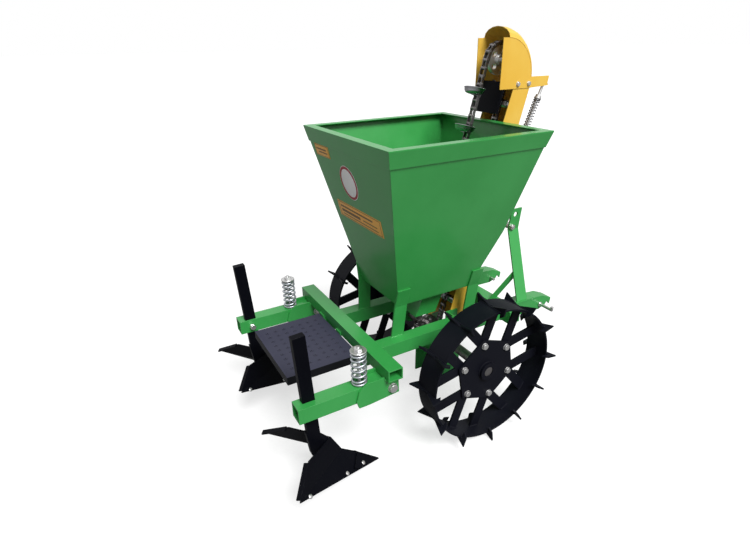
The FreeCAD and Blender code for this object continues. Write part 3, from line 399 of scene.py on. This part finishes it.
# ---- Badges on the hopper's rear panel ----
# Thin printed plates stuck to the enamel: a white disc with a red ring, a wide orange plate
# with a border and plain bands, and a small orange plate under the rim.
def printed(name, paint, faded, bare_metal, wear, soiled, gloss):
    """A printed finish on thin plate, with fine edges and hardly any relief."""
    return painted(name, paint, faded, bare_metal, dry_soil, edge_width=0.0004, wear=wear,
                   soiled=soiled, soil_height=0.10, gloss=gloss, bump=0.06)


white_print = printed("white_print", (0.93, 0.92, 0.92), (0.86, 0.85, 0.84), (0.5, 0.5, 0.5),
                      wear=0.10, soiled=0.10, gloss=0.34)
red_print = printed("red_print", (0.34, 0.012, 0.020), (0.40, 0.03, 0.03), (0.6, 0.5, 0.5),
                    wear=0.10, soiled=0.10, gloss=0.32)
orange_print = printed("orange_print", (0.95, 0.47, 0.085), (0.88, 0.50, 0.14), (0.6, 0.5, 0.3),
                       wear=0.14, soiled=0.12, gloss=0.36)
dark_print = printed("dark_print", (0.16, 0.085, 0.022), (0.20, 0.11, 0.035), (0.4, 0.3, 0.2),
                     wear=0.12, soiled=0.10, gloss=0.38)
badge_base, badge_print = 0.0009, 0.0004


def faced_out():
    """Turns every face of the mesh in edit mode outward, and leaves edit mode."""
    bpy.ops.mesh.select_all(action="SELECT")
    bpy.ops.mesh.normals_make_consistent(inside=False)
    bpy.ops.object.mode_set(mode="OBJECT")


def lathe(outline, sides):
    """A solid about +Z: a disc, then one extrusion for each (radius, height) that follows."""
    deselect()
    (radius, height), *others = outline
    bpy.ops.mesh.primitive_circle_add(vertices=sides, radius=radius, fill_type="NGON",
                                      location=(0.0, 0.0, height))
    piece = bpy.context.object
    bpy.ops.object.transform_apply(location=True)
    bpy.ops.object.mode_set(mode="EDIT")
    bpy.ops.mesh.select_all(action="SELECT")
    for wide, high in others:
        bpy.ops.mesh.extrude_region_move(
            TRANSFORM_OT_translate={"value": (0.0, 0.0, high - height)})
        bpy.ops.transform.resize(value=(wide / radius, wide / radius, 1.0),
                                 center_override=(0.0, 0.0, high))
        radius, height = wide, high
    faced_out()
    return piece


def ring_of(outline, sides):
    """A closed ring about +Z from the (radius, height) corners of its section."""
    deselect()
    (radius, height), *others = outline
    bpy.ops.mesh.primitive_circle_add(vertices=sides, radius=radius, fill_type="NOTHING",
                                      location=(0.0, 0.0, height))
    piece = bpy.context.object
    bpy.ops.object.transform_apply(location=True)
    bpy.ops.object.mode_set(mode="EDIT")
    bpy.ops.mesh.select_mode(type="EDGE")
    bpy.ops.mesh.select_all(action="SELECT")
    for wide, high in others:
        bpy.ops.mesh.extrude_edges_move(
            TRANSFORM_OT_translate={"value": (0.0, 0.0, high - height)})
        bpy.ops.transform.resize(value=(wide / radius, wide / radius, 1.0),
                                 center_override=(0.0, 0.0, high))
        radius, height = wide, high
    bpy.ops.mesh.select_all(action="DESELECT")
    bpy.ops.mesh.select_non_manifold()
    bpy.ops.mesh.bridge_edge_loops()
    faced_out()
    return piece


def block(x, y, z, chamfer=0.0):
    """A block centred on X and Y and standing on Z zero, its edges chamfered."""
    deselect()
    bpy.ops.mesh.primitive_cube_add(size=1.0)
    piece = bpy.context.object
    piece.data.transform(Matrix.Translation((0, 0, z / 2)) @ Matrix.Diagonal((x, y, z, 1)))
    if chamfer:
        bpy.ops.object.mode_set(mode="EDIT")
        bpy.ops.mesh.select_all(action="SELECT")
        bpy.ops.mesh.bevel(offset=chamfer, segments=2, affect="EDGES")
        bpy.ops.object.mode_set(mode="OBJECT")
    return piece


def on_panel(place, normal):
    """Turns flat work to lie on the rear panel, its Y up the slope."""
    across = Vector((1.0, 0.0, 0.0))
    up = normal.cross(across)
    turned = Matrix((across, up, normal)).transposed().to_4x4()
    return Matrix.Translation(place) @ turned


def badge_spot(low, high, flat, spots):
    """Middle of a badge's back, and the direction that it faces."""
    face = flat if flat.y < 0 else -flat
    return (low + high) / 2 - face * 0.0005, face


wide, disc, small = sorted(solids_of("hopper_badges"), key=lambda solid: solid[0].z)
place, face = badge_spot(*disc)
disc_radius = (disc[1].x - disc[0].x) / 2
plate = lathe(((disc_radius, 0.0), (disc_radius, badge_base - 0.0003),
               (disc_radius - 0.0004, badge_base)), 64)
plate.data.transform(on_panel(place, face))
white_disc = one_piece("badge_disc", [plate], white_print)
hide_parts("hopper_badges")
ring = ring_of(((0.97 * disc_radius, badge_base), (0.97 * disc_radius, badge_base + badge_print),
                (0.82 * disc_radius, badge_base + badge_print), (0.82 * disc_radius, badge_base)),
               64)
ring.data.transform(on_panel(place, face))
one_piece("badge_ring", [ring], red_print)


def banded_plate(solid, bands):
    """A plate with a raised border and plain bands, given as shares of its width and height."""
    spot, toward = badge_spot(*solid)
    width = solid[1].x - solid[0].x
    tall = (solid[1].z - solid[0].z) / abs(toward.cross(Vector((1, 0, 0))).z)
    base = block(width, tall, badge_base, 0.0003)
    base.data.transform(on_panel(spot, toward))
    marks = []
    for x, y, w, h in [(0, 0.44, 0.94, 0.03), (0, -0.44, 0.94, 0.03), (0.47, 0, 0.006, 0.88),
                       (-0.47, 0, 0.006, 0.88)] + bands:
        mark = block(w * width, h * tall, badge_base + badge_print)
        mark.data.transform(Matrix.Translation((x * width, y * tall, 0)))
        mark.data.transform(on_panel(spot, toward))
        marks.append(mark)
    return [base], marks


bases, prints = banded_plate(wide, [(-0.06, 0.20, 0.74, 0.10), (-0.20, -0.06, 0.44, 0.16),
                                    (0.24, -0.06, 0.30, 0.06), (0.0, -0.28, 0.80, 0.05)])
small_bases, small_prints = banded_plate(small, [(-0.05, 0.12, 0.70, 0.12),
                                                 (0.05, -0.14, 0.60, 0.10)])
one_piece("badge_plates", bases + small_bases, orange_print)
one_piece("badge_bands", prints + small_prints, dark_print)

# ---- Yellow seed tube and hood ----
# Folded sheet, welded and sprayed in yellow enamel.
yellow = painted("yellow_enamel", paint=(0.78, 0.45, 0.050), faded=(0.82, 0.53, 0.09),
                 bare_metal=(0.34, 0.28, 0.18), dirt=dry_soil, edge_width=0.0012, wear=0.25,
                 soiled=0.16, soil_height=0.12, gloss=0.36, bump=0.12, coat=0.06)
finish_with(yellow, "hood", "seed_tube")
head_at = Vector(joint["head_spin"]["pos_m"])
chain_radius, hood_dome, hood_run, ear_tall, seam_high = 0.052, 0.034, 0.060, 0.035, 0.0011
hood_low, hood_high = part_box("hood")
ear_high = head_at.z - 1.65 * chain_radius + ear_tall
bend_y = head_at.y - 0.3 * chain_radius
seam_run = head_at.y + chain_radius + hood_run - bend_y - 0.6 * hood_dome
seam_rise = hood_high.z - ear_high - hood_dome
seam = [Vector((0.0, bend_y + seam_run * math.cos(turn), ear_high + seam_rise * math.sin(turn)))
        for turn in (math.radians(90.0 - 7.5 * k) for k in range(13))]
beads = [weld(start + Vector((x, 0, 0)), end + Vector((x, 0, 0)), seam_high)
         for x in (hood_low.x, hood_high.x) for start, end in zip(seam, seam[1:])]
one_piece("hood_seams", beads, yellow, smooth=70.0)

# ---- Black pieces: wheels, shanks, footboard and the board under the head wheel ----
# Flat bar, rolled strip and folded sheet, sprayed in a satin black enamel. The footboard is slate
# grey on top, with painted shade darkening its sides and underside.
black = painted("black_enamel", paint=(0.0034, 0.0038, 0.0072),
                faded=(0.0062, 0.0068, 0.0115), bare_metal=(0.08, 0.08, 0.08),
                dirt=(0.020, 0.018, 0.016), edge_width=0.0014, wear=0.20, soiled=0.12,
                soil_height=0.10, gloss=0.46, bump=0.16, shine=0.09)
finish_with(black, "wheel_rim_right", "wheel_rim_left", "wheel_lugs_right", "wheel_lugs_left",
            "wheel_spokes", "wheel_hubs")
slate = painted("worn_slate", paint=(0.028, 0.029, 0.052), faded=(0.040, 0.041, 0.066),
                bare_metal=(0.12, 0.12, 0.13), dirt=(0.05, 0.045, 0.04), edge_width=0.0012,
                wear=0.25, soiled=0.14, soil_height=0.10, gloss=0.50, bump=0.22, shine=0.2)
plough = painted("plough_black", paint=(0.0014, 0.0016, 0.0034),
                 faded=(0.0028, 0.0031, 0.0052), bare_metal=(0.08, 0.08, 0.08),
                 dirt=(0.014, 0.012, 0.010), edge_width=0.0018, wear=0.28, soiled=0.14,
                 soil_height=0.06, gloss=0.38, bump=0.22, shine=0.05)
finish_with(plough, "wings_right", "wings_left", "share_right", "share_left", "shank_right",
            "shank_left", "head_board")


def painted_side_shade(material, below, amount=(0.55, 0.95)):
    """Keeps a finish's colour where it faces up, and paints shade on its sides and its underside.
    """
    tree = material.node_tree
    shader = tree.nodes["Principled BSDF"]
    own = shader.inputs["Base Color"].links[0].from_socket
    normal = joined(tree, "ShaderNodeNewGeometry").outputs["True Normal"]
    up = joined(tree, "ShaderNodeSeparateXYZ", {"Vector": normal}).outputs["Z"]
    tone = blended(tree, between(tree, up, *amount), below, own)
    tree.links.new(tone, shader.inputs["Base Color"])


# Painted shade: the footboard and its collars go near black on their sides and underside by the way
# they face, while their tops keep the slate colour.
painted_shade_black = (0.0030, 0.0034, 0.0052, 1.0)
painted_side_shade(slate, painted_shade_black)
finish_with(slate, "footboard")

# ---- Footboard dimples ----
# Each drain hole is punched upwards and leaves a low raised collar, which gives a boot its grip.
hole_pitch, collar_out, collar_in, collar_high = 0.030, 0.0066, 0.0020, 0.0014
low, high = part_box("footboard")
columns = int(((high.x - low.x) - hole_pitch) / hole_pitch)
rows = int(((high.y - low.y) - hole_pitch) / hole_pitch)
collar = ring_of(((collar_out, 0.0), (0.8 * collar_out, 0.8 * collar_high),
                  (0.62 * collar_out, collar_high), (collar_in, 0.7 * collar_high),
                  (collar_in, -0.001), (0.7 * collar_out, -0.001)), 16)
collars = []
for i in range(columns):
    for j in range(rows):
        x = (low.x + high.x) / 2 + (i - (columns - 1) / 2) * hole_pitch
        y = (low.y + high.y) / 2 + (j - (rows - 1) / 2) * hole_pitch
        collars.append(settled(twin_of(collar), (x, y, high.z)))
bpy.data.objects.remove(collar)
one_piece("footboard_collars", collars, slate, smooth=50.0)

# ---- Wheel welds ----
# The spades stand on the rolled rim and the crossed spokes end inside it. Each foot is welded,
# and a ring of weld holds the boss to the hub plate. All of it turns with the wheels.
axle_at = Vector(joint["wheel_spin"]["pos_m"])
rim_low, rim_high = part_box("wheel_rim_right")
rim_radius = (rim_high.z - rim_low.z) / 2
rim_wall, lug_foot, lug_thick, lug_count, lug_weld = 0.006, 0.045, 0.006, 12, 0.0028
spoke_count, spoke_wide, spoke_offset, spoke_turn = 6, 0.034, 0.051, 10.0
spoke_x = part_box("wheel_spokes")[1].x


def about_axle(piece, degrees):
    piece.data.transform(Matrix.Translation(axle_at)
                         @ Matrix.Rotation(math.radians(degrees), 4, "X"))
    return piece


wheel_beads = []
for k in range(lug_count):
    for edge_x, toward in ((rim_low.x, 1), (rim_high.x, -1)):
        for y in (-lug_thick / 2 - 0.001, lug_thick / 2 + 0.001):
            bead = weld((edge_x, y, rim_radius), (edge_x + toward * lug_foot, y, rim_radius),
                        lug_weld)
            wheel_beads.append(about_axle(bead, 360.0 / lug_count * k))
inner = rim_radius - rim_wall
for k in range(spoke_count):
    for toward in (-1, 1):
        ends = [Vector((spoke_x, toward * math.sqrt(inner ** 2 - z ** 2), z)) for z in
                (spoke_offset - spoke_wide / 2, spoke_offset + spoke_wide / 2)]
        wheel_beads.append(about_axle(weld(*ends), spoke_turn + 360.0 / spoke_count * k))
boss_radius, hub_plate, boss_ripples = 0.032, 0.008, 48
plate_x = spoke_x + hub_plate
for k in range(boss_ripples):
    turn = math.radians(360.0 / boss_ripples * k)
    spot = Vector((plate_x, boss_radius * math.cos(turn), boss_radius * math.sin(turn)))
    step = Vector((0.0, -math.sin(turn), math.cos(turn))) * ripple_step
    wheel_beads.append(about_axle(weld(spot - step / 2, spot + step / 2), 0.0))
right_welds = one_piece("wheel_welds_right", wheel_beads, black, "wheel_set", 70.0)
left_welds = twin_of(right_welds)
left_welds.data.transform(Matrix.Scale(-1.0, 4, (1.0, 0.0, 0.0)))
left_welds.data.flip_normals()
one_piece("wheel_welds_left", [left_welds], black, "wheel_set", 70.0)

# ---- Zinc plated fasteners, pins, rods and springs ----
# Plated steel: a pale grey with a faint yellow bloom, brushed grain and dull spots.
steel_group, want, give = group_with(
    "plated_steel",
    (("Bright", COLOUR, (0.6, 0.6, 0.58, 1)), ("Dull", COLOUR, (0.4, 0.38, 0.34, 1)),
     ("Tarnish", NUMBER, 0.4), ("Gloss", NUMBER, 0.28), ("Soil Height", NUMBER, 0.2)),
    (("Color", COLOUR), ("Roughness", NUMBER), ("Metallic", NUMBER), ("Height", NUMBER),
     ("Round", VECTOR)))
g = steel_group
at = joined(g, "ShaderNodeTexCoord").outputs["Object"]
surface = joined(g, "ShaderNodeNewGeometry")
rounded = joined(g, "ShaderNodeBevel", {"Radius": 0.0008}, samples=4).outputs["Normal"]
bloom = between(g, noise(g, at, 40.0, 5.0), 0.38, 0.70)
spots = between(g, noise(g, at, 300.0, 3.0), 0.58, 0.68)
grain = noise(g, joined(g, "ShaderNodeMapping", {"Vector": at, "Scale": (1.0, 1.0, 9.0)}
                        ).outputs["Vector"], 500.0, 2.0)
marks = maths(g, "MULTIPLY", maths(g, "ADD", bloom, maths(g, "MULTIPLY", spots, 0.6)),
              want["Tarnish"], True)
height_z = joined(g, "ShaderNodeSeparateXYZ", {"Vector": at}).outputs["Z"]
low_down = joined(g, "ShaderNodeMapRange", {"Value": height_z, "From Min": want["Soil Height"],
                                            "From Max": 0.0}).outputs["Result"]
soil = maths(g, "MULTIPLY", low_down, between(g, noise(g, at, 60.0, 5.0), 0.35, 0.65), True)
tint = blended(g, marks, want["Bright"], want["Dull"])
tint = blended(g, soil, tint, (0.12, 0.09, 0.07, 1.0))
polish = maths(g, "ADD", want["Gloss"], maths(g, "MULTIPLY", marks, 0.30))
polish = maths(g, "ADD", polish, maths(g, "MULTIPLY", soil, 0.4), True)
for label, value in (("Color", tint), ("Roughness", polish),
                     ("Metallic", maths(g, "SUBTRACT", 1.0, maths(g, "MULTIPLY", soil, 0.9))),
                     ("Height", maths(g, "ADD", maths(g, "MULTIPLY", grain, 0.3), marks)),
                     ("Round", rounded)):
    g.links.new(value, give.inputs[label])


def plated(name, bright, dull, tarnish, gloss, soil_height=0.12, bump=0.12):
    """A bare or plated steel finish: the plated steel group with its own values."""
    made = bpy.data.materials.new(name)
    made.use_nodes = True
    tree = made.node_tree
    shader = tree.nodes["Principled BSDF"]
    steel = joined(tree, "ShaderNodeGroup", node_tree=steel_group)
    steel.inputs["Bright"].default_value = (*bright, 1.0)
    steel.inputs["Dull"].default_value = (*dull, 1.0)
    steel.inputs["Tarnish"].default_value = tarnish
    steel.inputs["Gloss"].default_value = gloss
    steel.inputs["Soil Height"].default_value = soil_height
    for label in ("Color", "Roughness", "Metallic"):
        tree.links.new(steel.outputs[label],
                       shader.inputs["Base Color" if label == "Color" else label])
    raised = joined(tree, "ShaderNodeBump", {"Strength": bump, "Distance": 0.0004,
                                             "Height": steel.outputs["Height"],
                                             "Normal": steel.outputs["Round"]})
    tree.links.new(raised.outputs["Normal"], shader.inputs["Normal"])
    return made


zinc = plated("zinc_plate", (0.66, 0.66, 0.66), (0.38, 0.37, 0.35), tarnish=0.40, gloss=0.36)
spring_steel = plated("spring_wire", (0.50, 0.53, 0.57), (0.26, 0.27, 0.29),
                      tarnish=0.45, gloss=0.34)
dark_spring = plated("dark_spring_wire", (0.26, 0.26, 0.27), (0.10, 0.10, 0.10),
                     tarnish=0.5, gloss=0.34)
chain_steel = plated("oiled_chain", (0.22, 0.21, 0.21), (0.060, 0.055, 0.050),
                     tarnish=0.7, gloss=0.28)
cup_steel = plated("black_cups", (0.36, 0.36, 0.38), (0.10, 0.10, 0.11), tarnish=0.55, gloss=0.16)
finish_with(zinc, "hitch_lock_pins", "mast_spacer", "head_shaft", "tensioner_rods",
            "head_wheel")
finish_with(chain_steel, "drive_wheel", "axle")

# ---- Hexagon bolts through the wheels, the pivots and the hood ----
# Forged steel, zinc plated, each with washers and a nut. The heads are outboard, where a
# spanner reaches them.
def threaded(radius, low, high, pitch):
    """Rings of a screw thread between two heights, from root to crest."""
    turns = int((high - low) / pitch)
    rings = []
    for k in range(turns):
        z = low + pitch * k
        rings += [(0.90 * radius, z + 0.25 * pitch), (radius, z + 0.75 * pitch)]
    return rings


def hexagon(across, low, high):
    """A chamfered hexagon head or nut."""
    corner = across / math.sqrt(3.0)
    edge = 0.12 * (high - low)
    return lathe(((0.90 * corner, low), (corner, low + edge), (corner, high - edge),
                  (0.88 * corner, high)), 6)


def washer(hole, outer, low, high):
    edge = 0.2 * (high - low)
    return ring_of(((hole, low), (outer - edge, low), (outer, low + edge), (outer, high - edge),
                    (outer - edge, high), (hole, high)), 28)


def machine_bolt(radius, grip, head, across, nut, tail):
    """A bolt along +Z: its head below zero, a washer and nut past the grip, thread at the end."""
    pitch = 0.28 * radius
    shank = lathe([(0.8 * radius, -0.2 * head), (radius, 0.0), (radius, grip)]
                  + threaded(radius, grip, grip + tail, pitch)
                  + [(0.8 * radius, grip + tail)], 20)
    cap = lathe(((0.55 * across * 0.9, -1.02 * head), (0.5 * across, -0.97 * head)), 28)
    thin = 0.16 * radius
    return [shank, hexagon(across, -head, -thin), cap,
            washer(0.98 * radius, 0.62 * across, -thin, 0.0),
            washer(0.98 * radius, 0.62 * across, grip, grip + thin),
            hexagon(across, grip + thin, grip + nut)]


def bolt_set(name, radius, grip, body):
    """Bolts across the machine, one for each solid of a CAD node, heads outboard."""
    head, across, nut, tail = 1.3 * radius, 3.2 * radius, 1.7 * radius, 2.2 * radius
    pattern = merged(machine_bolt(radius, grip, head, across, nut, tail))
    bolts = []
    for index, (low, high, flat, spots) in enumerate(solids_of(name)):
        side = 1 if low.x + high.x > 0 else -1
        middle = (low + high) / 2
        seat = (high.x if side > 0 else low.x) - side * head
        bolts.append(settled(twin_of(pattern), (seat, middle.y, middle.z), (-side, 0, 0),
                             0.7 * index))
    bpy.data.objects.remove(pattern)
    made = one_piece(name + "_detailed", bolts, zinc, body)
    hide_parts(name)


bolt_set("wheel_bolts", 0.006, 0.016, "wheel_set")
bolt_set("pivot_bolts", 0.008, 0.0628, "frame")
bolt_set("hood_bolts", 0.004, 0.004, "frame")

# ---- Spring bolts ----
# A long rod stands on the strap below each arm, passes through the arm and the spring, and is
# nutted at both ends. A thick turned cap sits on the spring's top.
rod_radius, rod_pitch, cap_radius, cap_high, nut_across = 0.006, 0.00175, 0.025, 0.005, 0.022
rods = []
for low, high, flat, spots in solids_of("spring_bolts"):
    x, y = (low.x + high.x) / 2, (low.y + high.y) / 2
    spring_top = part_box("arm_spring_right")[1].z
    strap_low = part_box("pivot_plates_right")[0].z
    rod = lathe([(0.8 * rod_radius, low.z), (rod_radius, low.z + 0.001)]
                + threaded(rod_radius, low.z + 0.001, low.z + 0.02, rod_pitch)
                + [(rod_radius, low.z + 0.03), (rod_radius, spring_top + 0.004)]
                + threaded(rod_radius, spring_top + 0.005, high.z + 0.001, rod_pitch)
                + [(0.8 * rod_radius, high.z + 0.003)], 20)
    cap = lathe(((cap_radius * 0.66, spring_top - 0.010), (cap_radius * 0.66, spring_top),
                 (cap_radius - 0.001, spring_top), (cap_radius, spring_top + 0.001),
                 (cap_radius, spring_top + cap_high - 0.001),
                 (cap_radius - 0.001, spring_top + cap_high)), 40)
    top_nut = hexagon(nut_across, spring_top + cap_high, high.z - 0.002)
    low_nut = hexagon(nut_across, low.z + 0.008, strap_low)
    parts = [rod, cap, top_nut, low_nut]
    rods.append(settled(merged(parts), (x, y, 0.0)))
spring_rods = one_piece("spring_rods_detailed", rods, zinc)
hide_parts("spring_bolts")


# ---- Arm springs ----
# Round spring wire coiled cold, the end coils closed up and ground flat. Each holds its arm down.
def wound(name, mean_radius, wire, height, active, closed=1.0, steps=30):
    """A compression spring standing on zero, its end turns wound close."""
    deselect()
    bpy.ops.mesh.primitive_circle_add(vertices=12, radius=wire / 2, fill_type="NOTHING",
                                      location=(mean_radius, 0.0, 0.0),
                                      rotation=(math.pi / 2, 0.0, 0.0))
    spring = bpy.context.object
    spring.name = name
    bpy.ops.object.transform_apply(location=True, rotation=True)
    turns = round(active + 2 * closed)
    screw = spring.modifiers.new("winding", "SCREW")
    screw.steps = screw.render_steps = steps
    screw.iterations = turns
    screw.screw_offset = wire
    screw.use_smooth_shade = True
    bpy.ops.object.modifier_apply(modifier="winding")
    spare = (height - wire * (turns + 1)) / (turns - 2 * closed)
    ring = len(spring.data.vertices) // (turns * steps + 1)
    for index, vertex in enumerate(spring.data.vertices):
        turn = (index // ring) / steps
        opened = min(max(turn - closed, 0.0), turns - 2 * closed)
        vertex.co.z += wire / 2 + spare * opened
    bpy.ops.object.mode_set(mode="EDIT")
    bpy.ops.mesh.select_all(action="SELECT")
    bpy.ops.mesh.fill_holes(sides=20)
    faced_out()
    return spring


arm_wire, coil_inset, arm_coils = 0.0072, 0.0004, 5
for side in ("right", "left"):
    low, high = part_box("arm_spring_" + side)
    middle = (low + high) / 2
    height = high.z - low.z
    mean_radius = (high.x - low.x) / 2 - arm_wire / 2 - coil_inset
    spring = wound("spring", mean_radius, arm_wire, height, arm_coils)
    settled(spring, (middle.x, middle.y, low.z), turn=0.6)
    spring = one_piece("arm_spring_wound_" + side, [spring], spring_steel)
    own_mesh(spring)
    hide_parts("arm_spring_" + side)

# ---- Tensioner springs ----
# Smaller, darker springs pull the chain tight. Each sits on the tube's foot plate, round the
# leaning rod that hangs from the hood's ear.
tension_lean = math.radians(23.0)
leaning = Vector((0.0, math.sin(tension_lean), math.cos(tension_lean)))
long_spring, thin_wire, thin_radius, thin_coils = 0.1085, 0.0040, 0.0105, 10
springs = []
for low, high, flat, spots in solids_of("tensioner_springs"):
    foot = (low + high) / 2 - leaning * long_spring / 2
    spring = wound("spring", thin_radius, thin_wire, long_spring, thin_coils)
    springs.append(settled(spring, foot, leaning))
tension_springs = one_piece("tensioner_springs_wound", springs, dark_spring)
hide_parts("tensioner_springs")

# ---- Clamp bolts in the arms ----
# A hexagon screw with a lock nut is driven through the arm's inner wall against the shank.
head, across, pitch = 0.008, 0.018, 0.0015
lock_low, lock_high = 0.0108, 0.0178
for side, toward in (("right", 1), ("left", -1)):
    low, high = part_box("clamp_bolt_" + side)
    length = high.x - low.x
    start = low.x if toward > 0 else high.x
    shank = lathe([(0.0048, head)] + threaded(0.005, head, length - 0.001, pitch)
                  + [(0.004, length)], 20)
    parts = [shank, hexagon(across, 0.0, head), hexagon(across, lock_low, lock_high)]
    screw = settled(merged(parts), (start, (low.y + high.y) / 2, (low.z + high.z) / 2),
                    (toward, 0, 0), 0.3)
    screw = one_piece("clamp_screw_" + side, [screw], zinc, "arm_" + side)
    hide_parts("clamp_bolt_" + side)

# ---- Ridger bolts ----
# Low domed plough bolts hold the share and the wings to the frog, their heads worn bright.
dome_radius, dome_high, half_shank = 0.007, 0.0034, 0.00175
dome = lathe(((dome_radius, -0.001), (dome_radius, 0.0008), (0.90 * dome_radius, 0.0019),
              (0.66 * dome_radius, 0.0028), (0.34 * dome_radius, 0.0033),
              (0.10 * dome_radius, dome_high)), 24)
for side in ("right", "left"):
    heads = []
    for low, high, flat, spots in solids_of("ridger_bolts_" + side):
        outward = flat if flat.z > 0 else -flat
        heads.append(settled(twin_of(dome), (low + high) / 2 - outward * half_shank, outward))
    heads = one_piece("ridger_heads_" + side, heads, zinc, "ridger_" + side, 60.0)
    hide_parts("ridger_bolts_" + side)
bpy.data.objects.remove(dome)

# ---- Roller chain ----
# Stamped side plates, waisted between their pins, with rollers between the inner pair. Inner
# and outer links take turns round both wheels. The oiled steel is nearly black.
pitch_goal = 0.0254
plate_high, plate_thick, roller_radius, inner_half = 0.014, 0.0017, 0.0060, 0.0076
pin_radius, pin_half, pin_chamfer = 0.0030, 0.0118, 0.0004
climb = head_at - axle_at
run_length = climb.length
up = climb.normalized()
across = Vector((0.0, up.z, -up.y))
half_round = math.pi * chain_radius
loop_length = 2 * (run_length + half_round)
link_count = 2 * round(loop_length / pitch_goal / 2)
link_pitch = loop_length / link_count


def pin_at(along):
    """Point on the chain's pitch line: up the rear run, over the head wheel and down."""
    along %= loop_length
    if along < run_length:
        return axle_at + up * along - across * chain_radius
    if along < run_length + half_round:
        turn = (along - run_length) / chain_radius
        return head_at - across * chain_radius * math.cos(turn) + up * chain_radius * math.sin(turn)
    if along < 2 * run_length + half_round:
        return head_at - up * (along - run_length - half_round) + across * chain_radius
    turn = (along - 2 * run_length - half_round) / chain_radius
    return axle_at + across * chain_radius * math.cos(turn) - up * chain_radius * math.sin(turn)


def link_plate(length):
    """A waisted side plate in the XY plane, from one pin at zero to the next along X."""
    deselect()
    bpy.ops.mesh.primitive_circle_add(vertices=12, radius=plate_high / 2, fill_type="NGON")
    plate = bpy.context.object
    for vertex in plate.data.vertices:
        if abs(vertex.co.x) < 1e-4:
            vertex.co = (length / 2, 0.78 * vertex.co.y, 0.0)
        elif vertex.co.x > 0:
            vertex.co.x += length
    bpy.ops.object.mode_set(mode="EDIT")
    bpy.ops.mesh.select_all(action="SELECT")
    bpy.ops.mesh.extrude_region_move(TRANSFORM_OT_translate={"value": (0.0, 0.0, plate_thick)})
    faced_out()
    return plate


plate = link_plate(link_pitch)
pin_side, pin_end = pin_half - pin_chamfer, pin_radius - pin_chamfer
pin = lathe(((pin_end, -pin_half), (pin_radius, -pin_side), (pin_radius, pin_side),
             (pin_end, pin_half)), 8)
roll = lathe(((0.9 * roller_radius, -inner_half), (roller_radius, -0.9 * inner_half),
              (roller_radius, 0.9 * inner_half), (0.9 * roller_radius, inner_half)), 12)
links = []
for k in range(link_count):
    here, there = pin_at(k * link_pitch), pin_at((k + 1) * link_pitch)
    ahead = (there - here).normalized()
    side_on = Vector((1.0, 0.0, 0.0))
    turned = Matrix((ahead, side_on.cross(ahead), side_on)).transposed().to_4x4()
    inset = inner_half if k % 2 else inner_half + plate_thick
    for z in (inset, -inset - plate_thick):
        piece = twin_of(plate)
        piece.data.transform(Matrix.Translation(here) @ turned @ Matrix.Translation((0, 0, z)))
        links.append(piece)
    links.append(settled(twin_of(pin), here, (1, 0, 0)))
    links.append(settled(twin_of(roll), here, (1, 0, 0)))
for pattern in (plate, pin, roll):
    bpy.data.objects.remove(pattern)
chain = one_piece("roller_chain", links, chain_steel, smooth=32.0)
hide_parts("seed_chain")

# ---- Seed cups ----
# Oval cups pressed from thin sheet with a rolled lip, blackened and shiny, each riveted to a
# strap bent out from the chain. They face up on the rear run and hang over on the front one.
cup_tilt = math.radians(20.0)
cup_outline = ((0.20, 0.00), (0.55, 0.03), (0.80, 0.18), (0.93, 0.48), (0.99, 0.84),
               (1.05, 0.93), (1.06, 1.00), (1.00, 1.05), (0.93, 0.99), (0.87, 0.62),
               (0.72, 0.30), (0.48, 0.16), (0.16, 0.13))
cup_half_width, cup_half_reach, cup_high, cup_inset = 0.0490, 0.0190, 0.0200, 0.0150
strap_wide, strap_long, strap_thick, tab_high, strap_chamfer = 0.018, 0.030, 0.0018, 0.022, 0.0004
cups = []
for low, high, flat, spots in solids_of("seed_cups"):
    middle = (low + high) / 2
    line_y = axle_at.y + (middle.z - axle_at.z) * up.y / up.z
    rear = middle.y < line_y
    base = Vector((0.0, low.y + cup_inset if rear else high.y - cup_inset,
                   low.z + 0.002 if rear else high.z - 0.002))
    bowl = lathe(cup_outline, 28)
    bowl.data.transform(Matrix.Diagonal((cup_half_width, cup_half_reach, cup_high, 1.0)))
    strap = block(strap_wide, strap_long, strap_thick, strap_chamfer)
    strap.data.transform(Matrix.Translation((0.0, 0.012, -strap_thick)))
    tab = block(strap_wide, strap_thick, tab_high, strap_chamfer)
    tab.data.transform(Matrix.Translation((0.0, 0.0262, -0.002)))
    rivet = lathe(((0.0032, 0.0), (0.0028, 0.0012), (0.0012, 0.0018)), 10)
    rivet.data.transform(Matrix.Translation((0.0, 0.002, strap_thick)))
    cup = merged([bowl, strap, tab, rivet])
    turn = (0.0 if rear else math.pi) - cup_tilt
    cup.data.transform(Matrix.Translation(base) @ Matrix.Rotation(turn, 4, "X"))
    cups.append(cup)
cups = one_piece("pressed_cups", cups, cup_steel, smooth=50.0)
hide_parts("seed_cups")
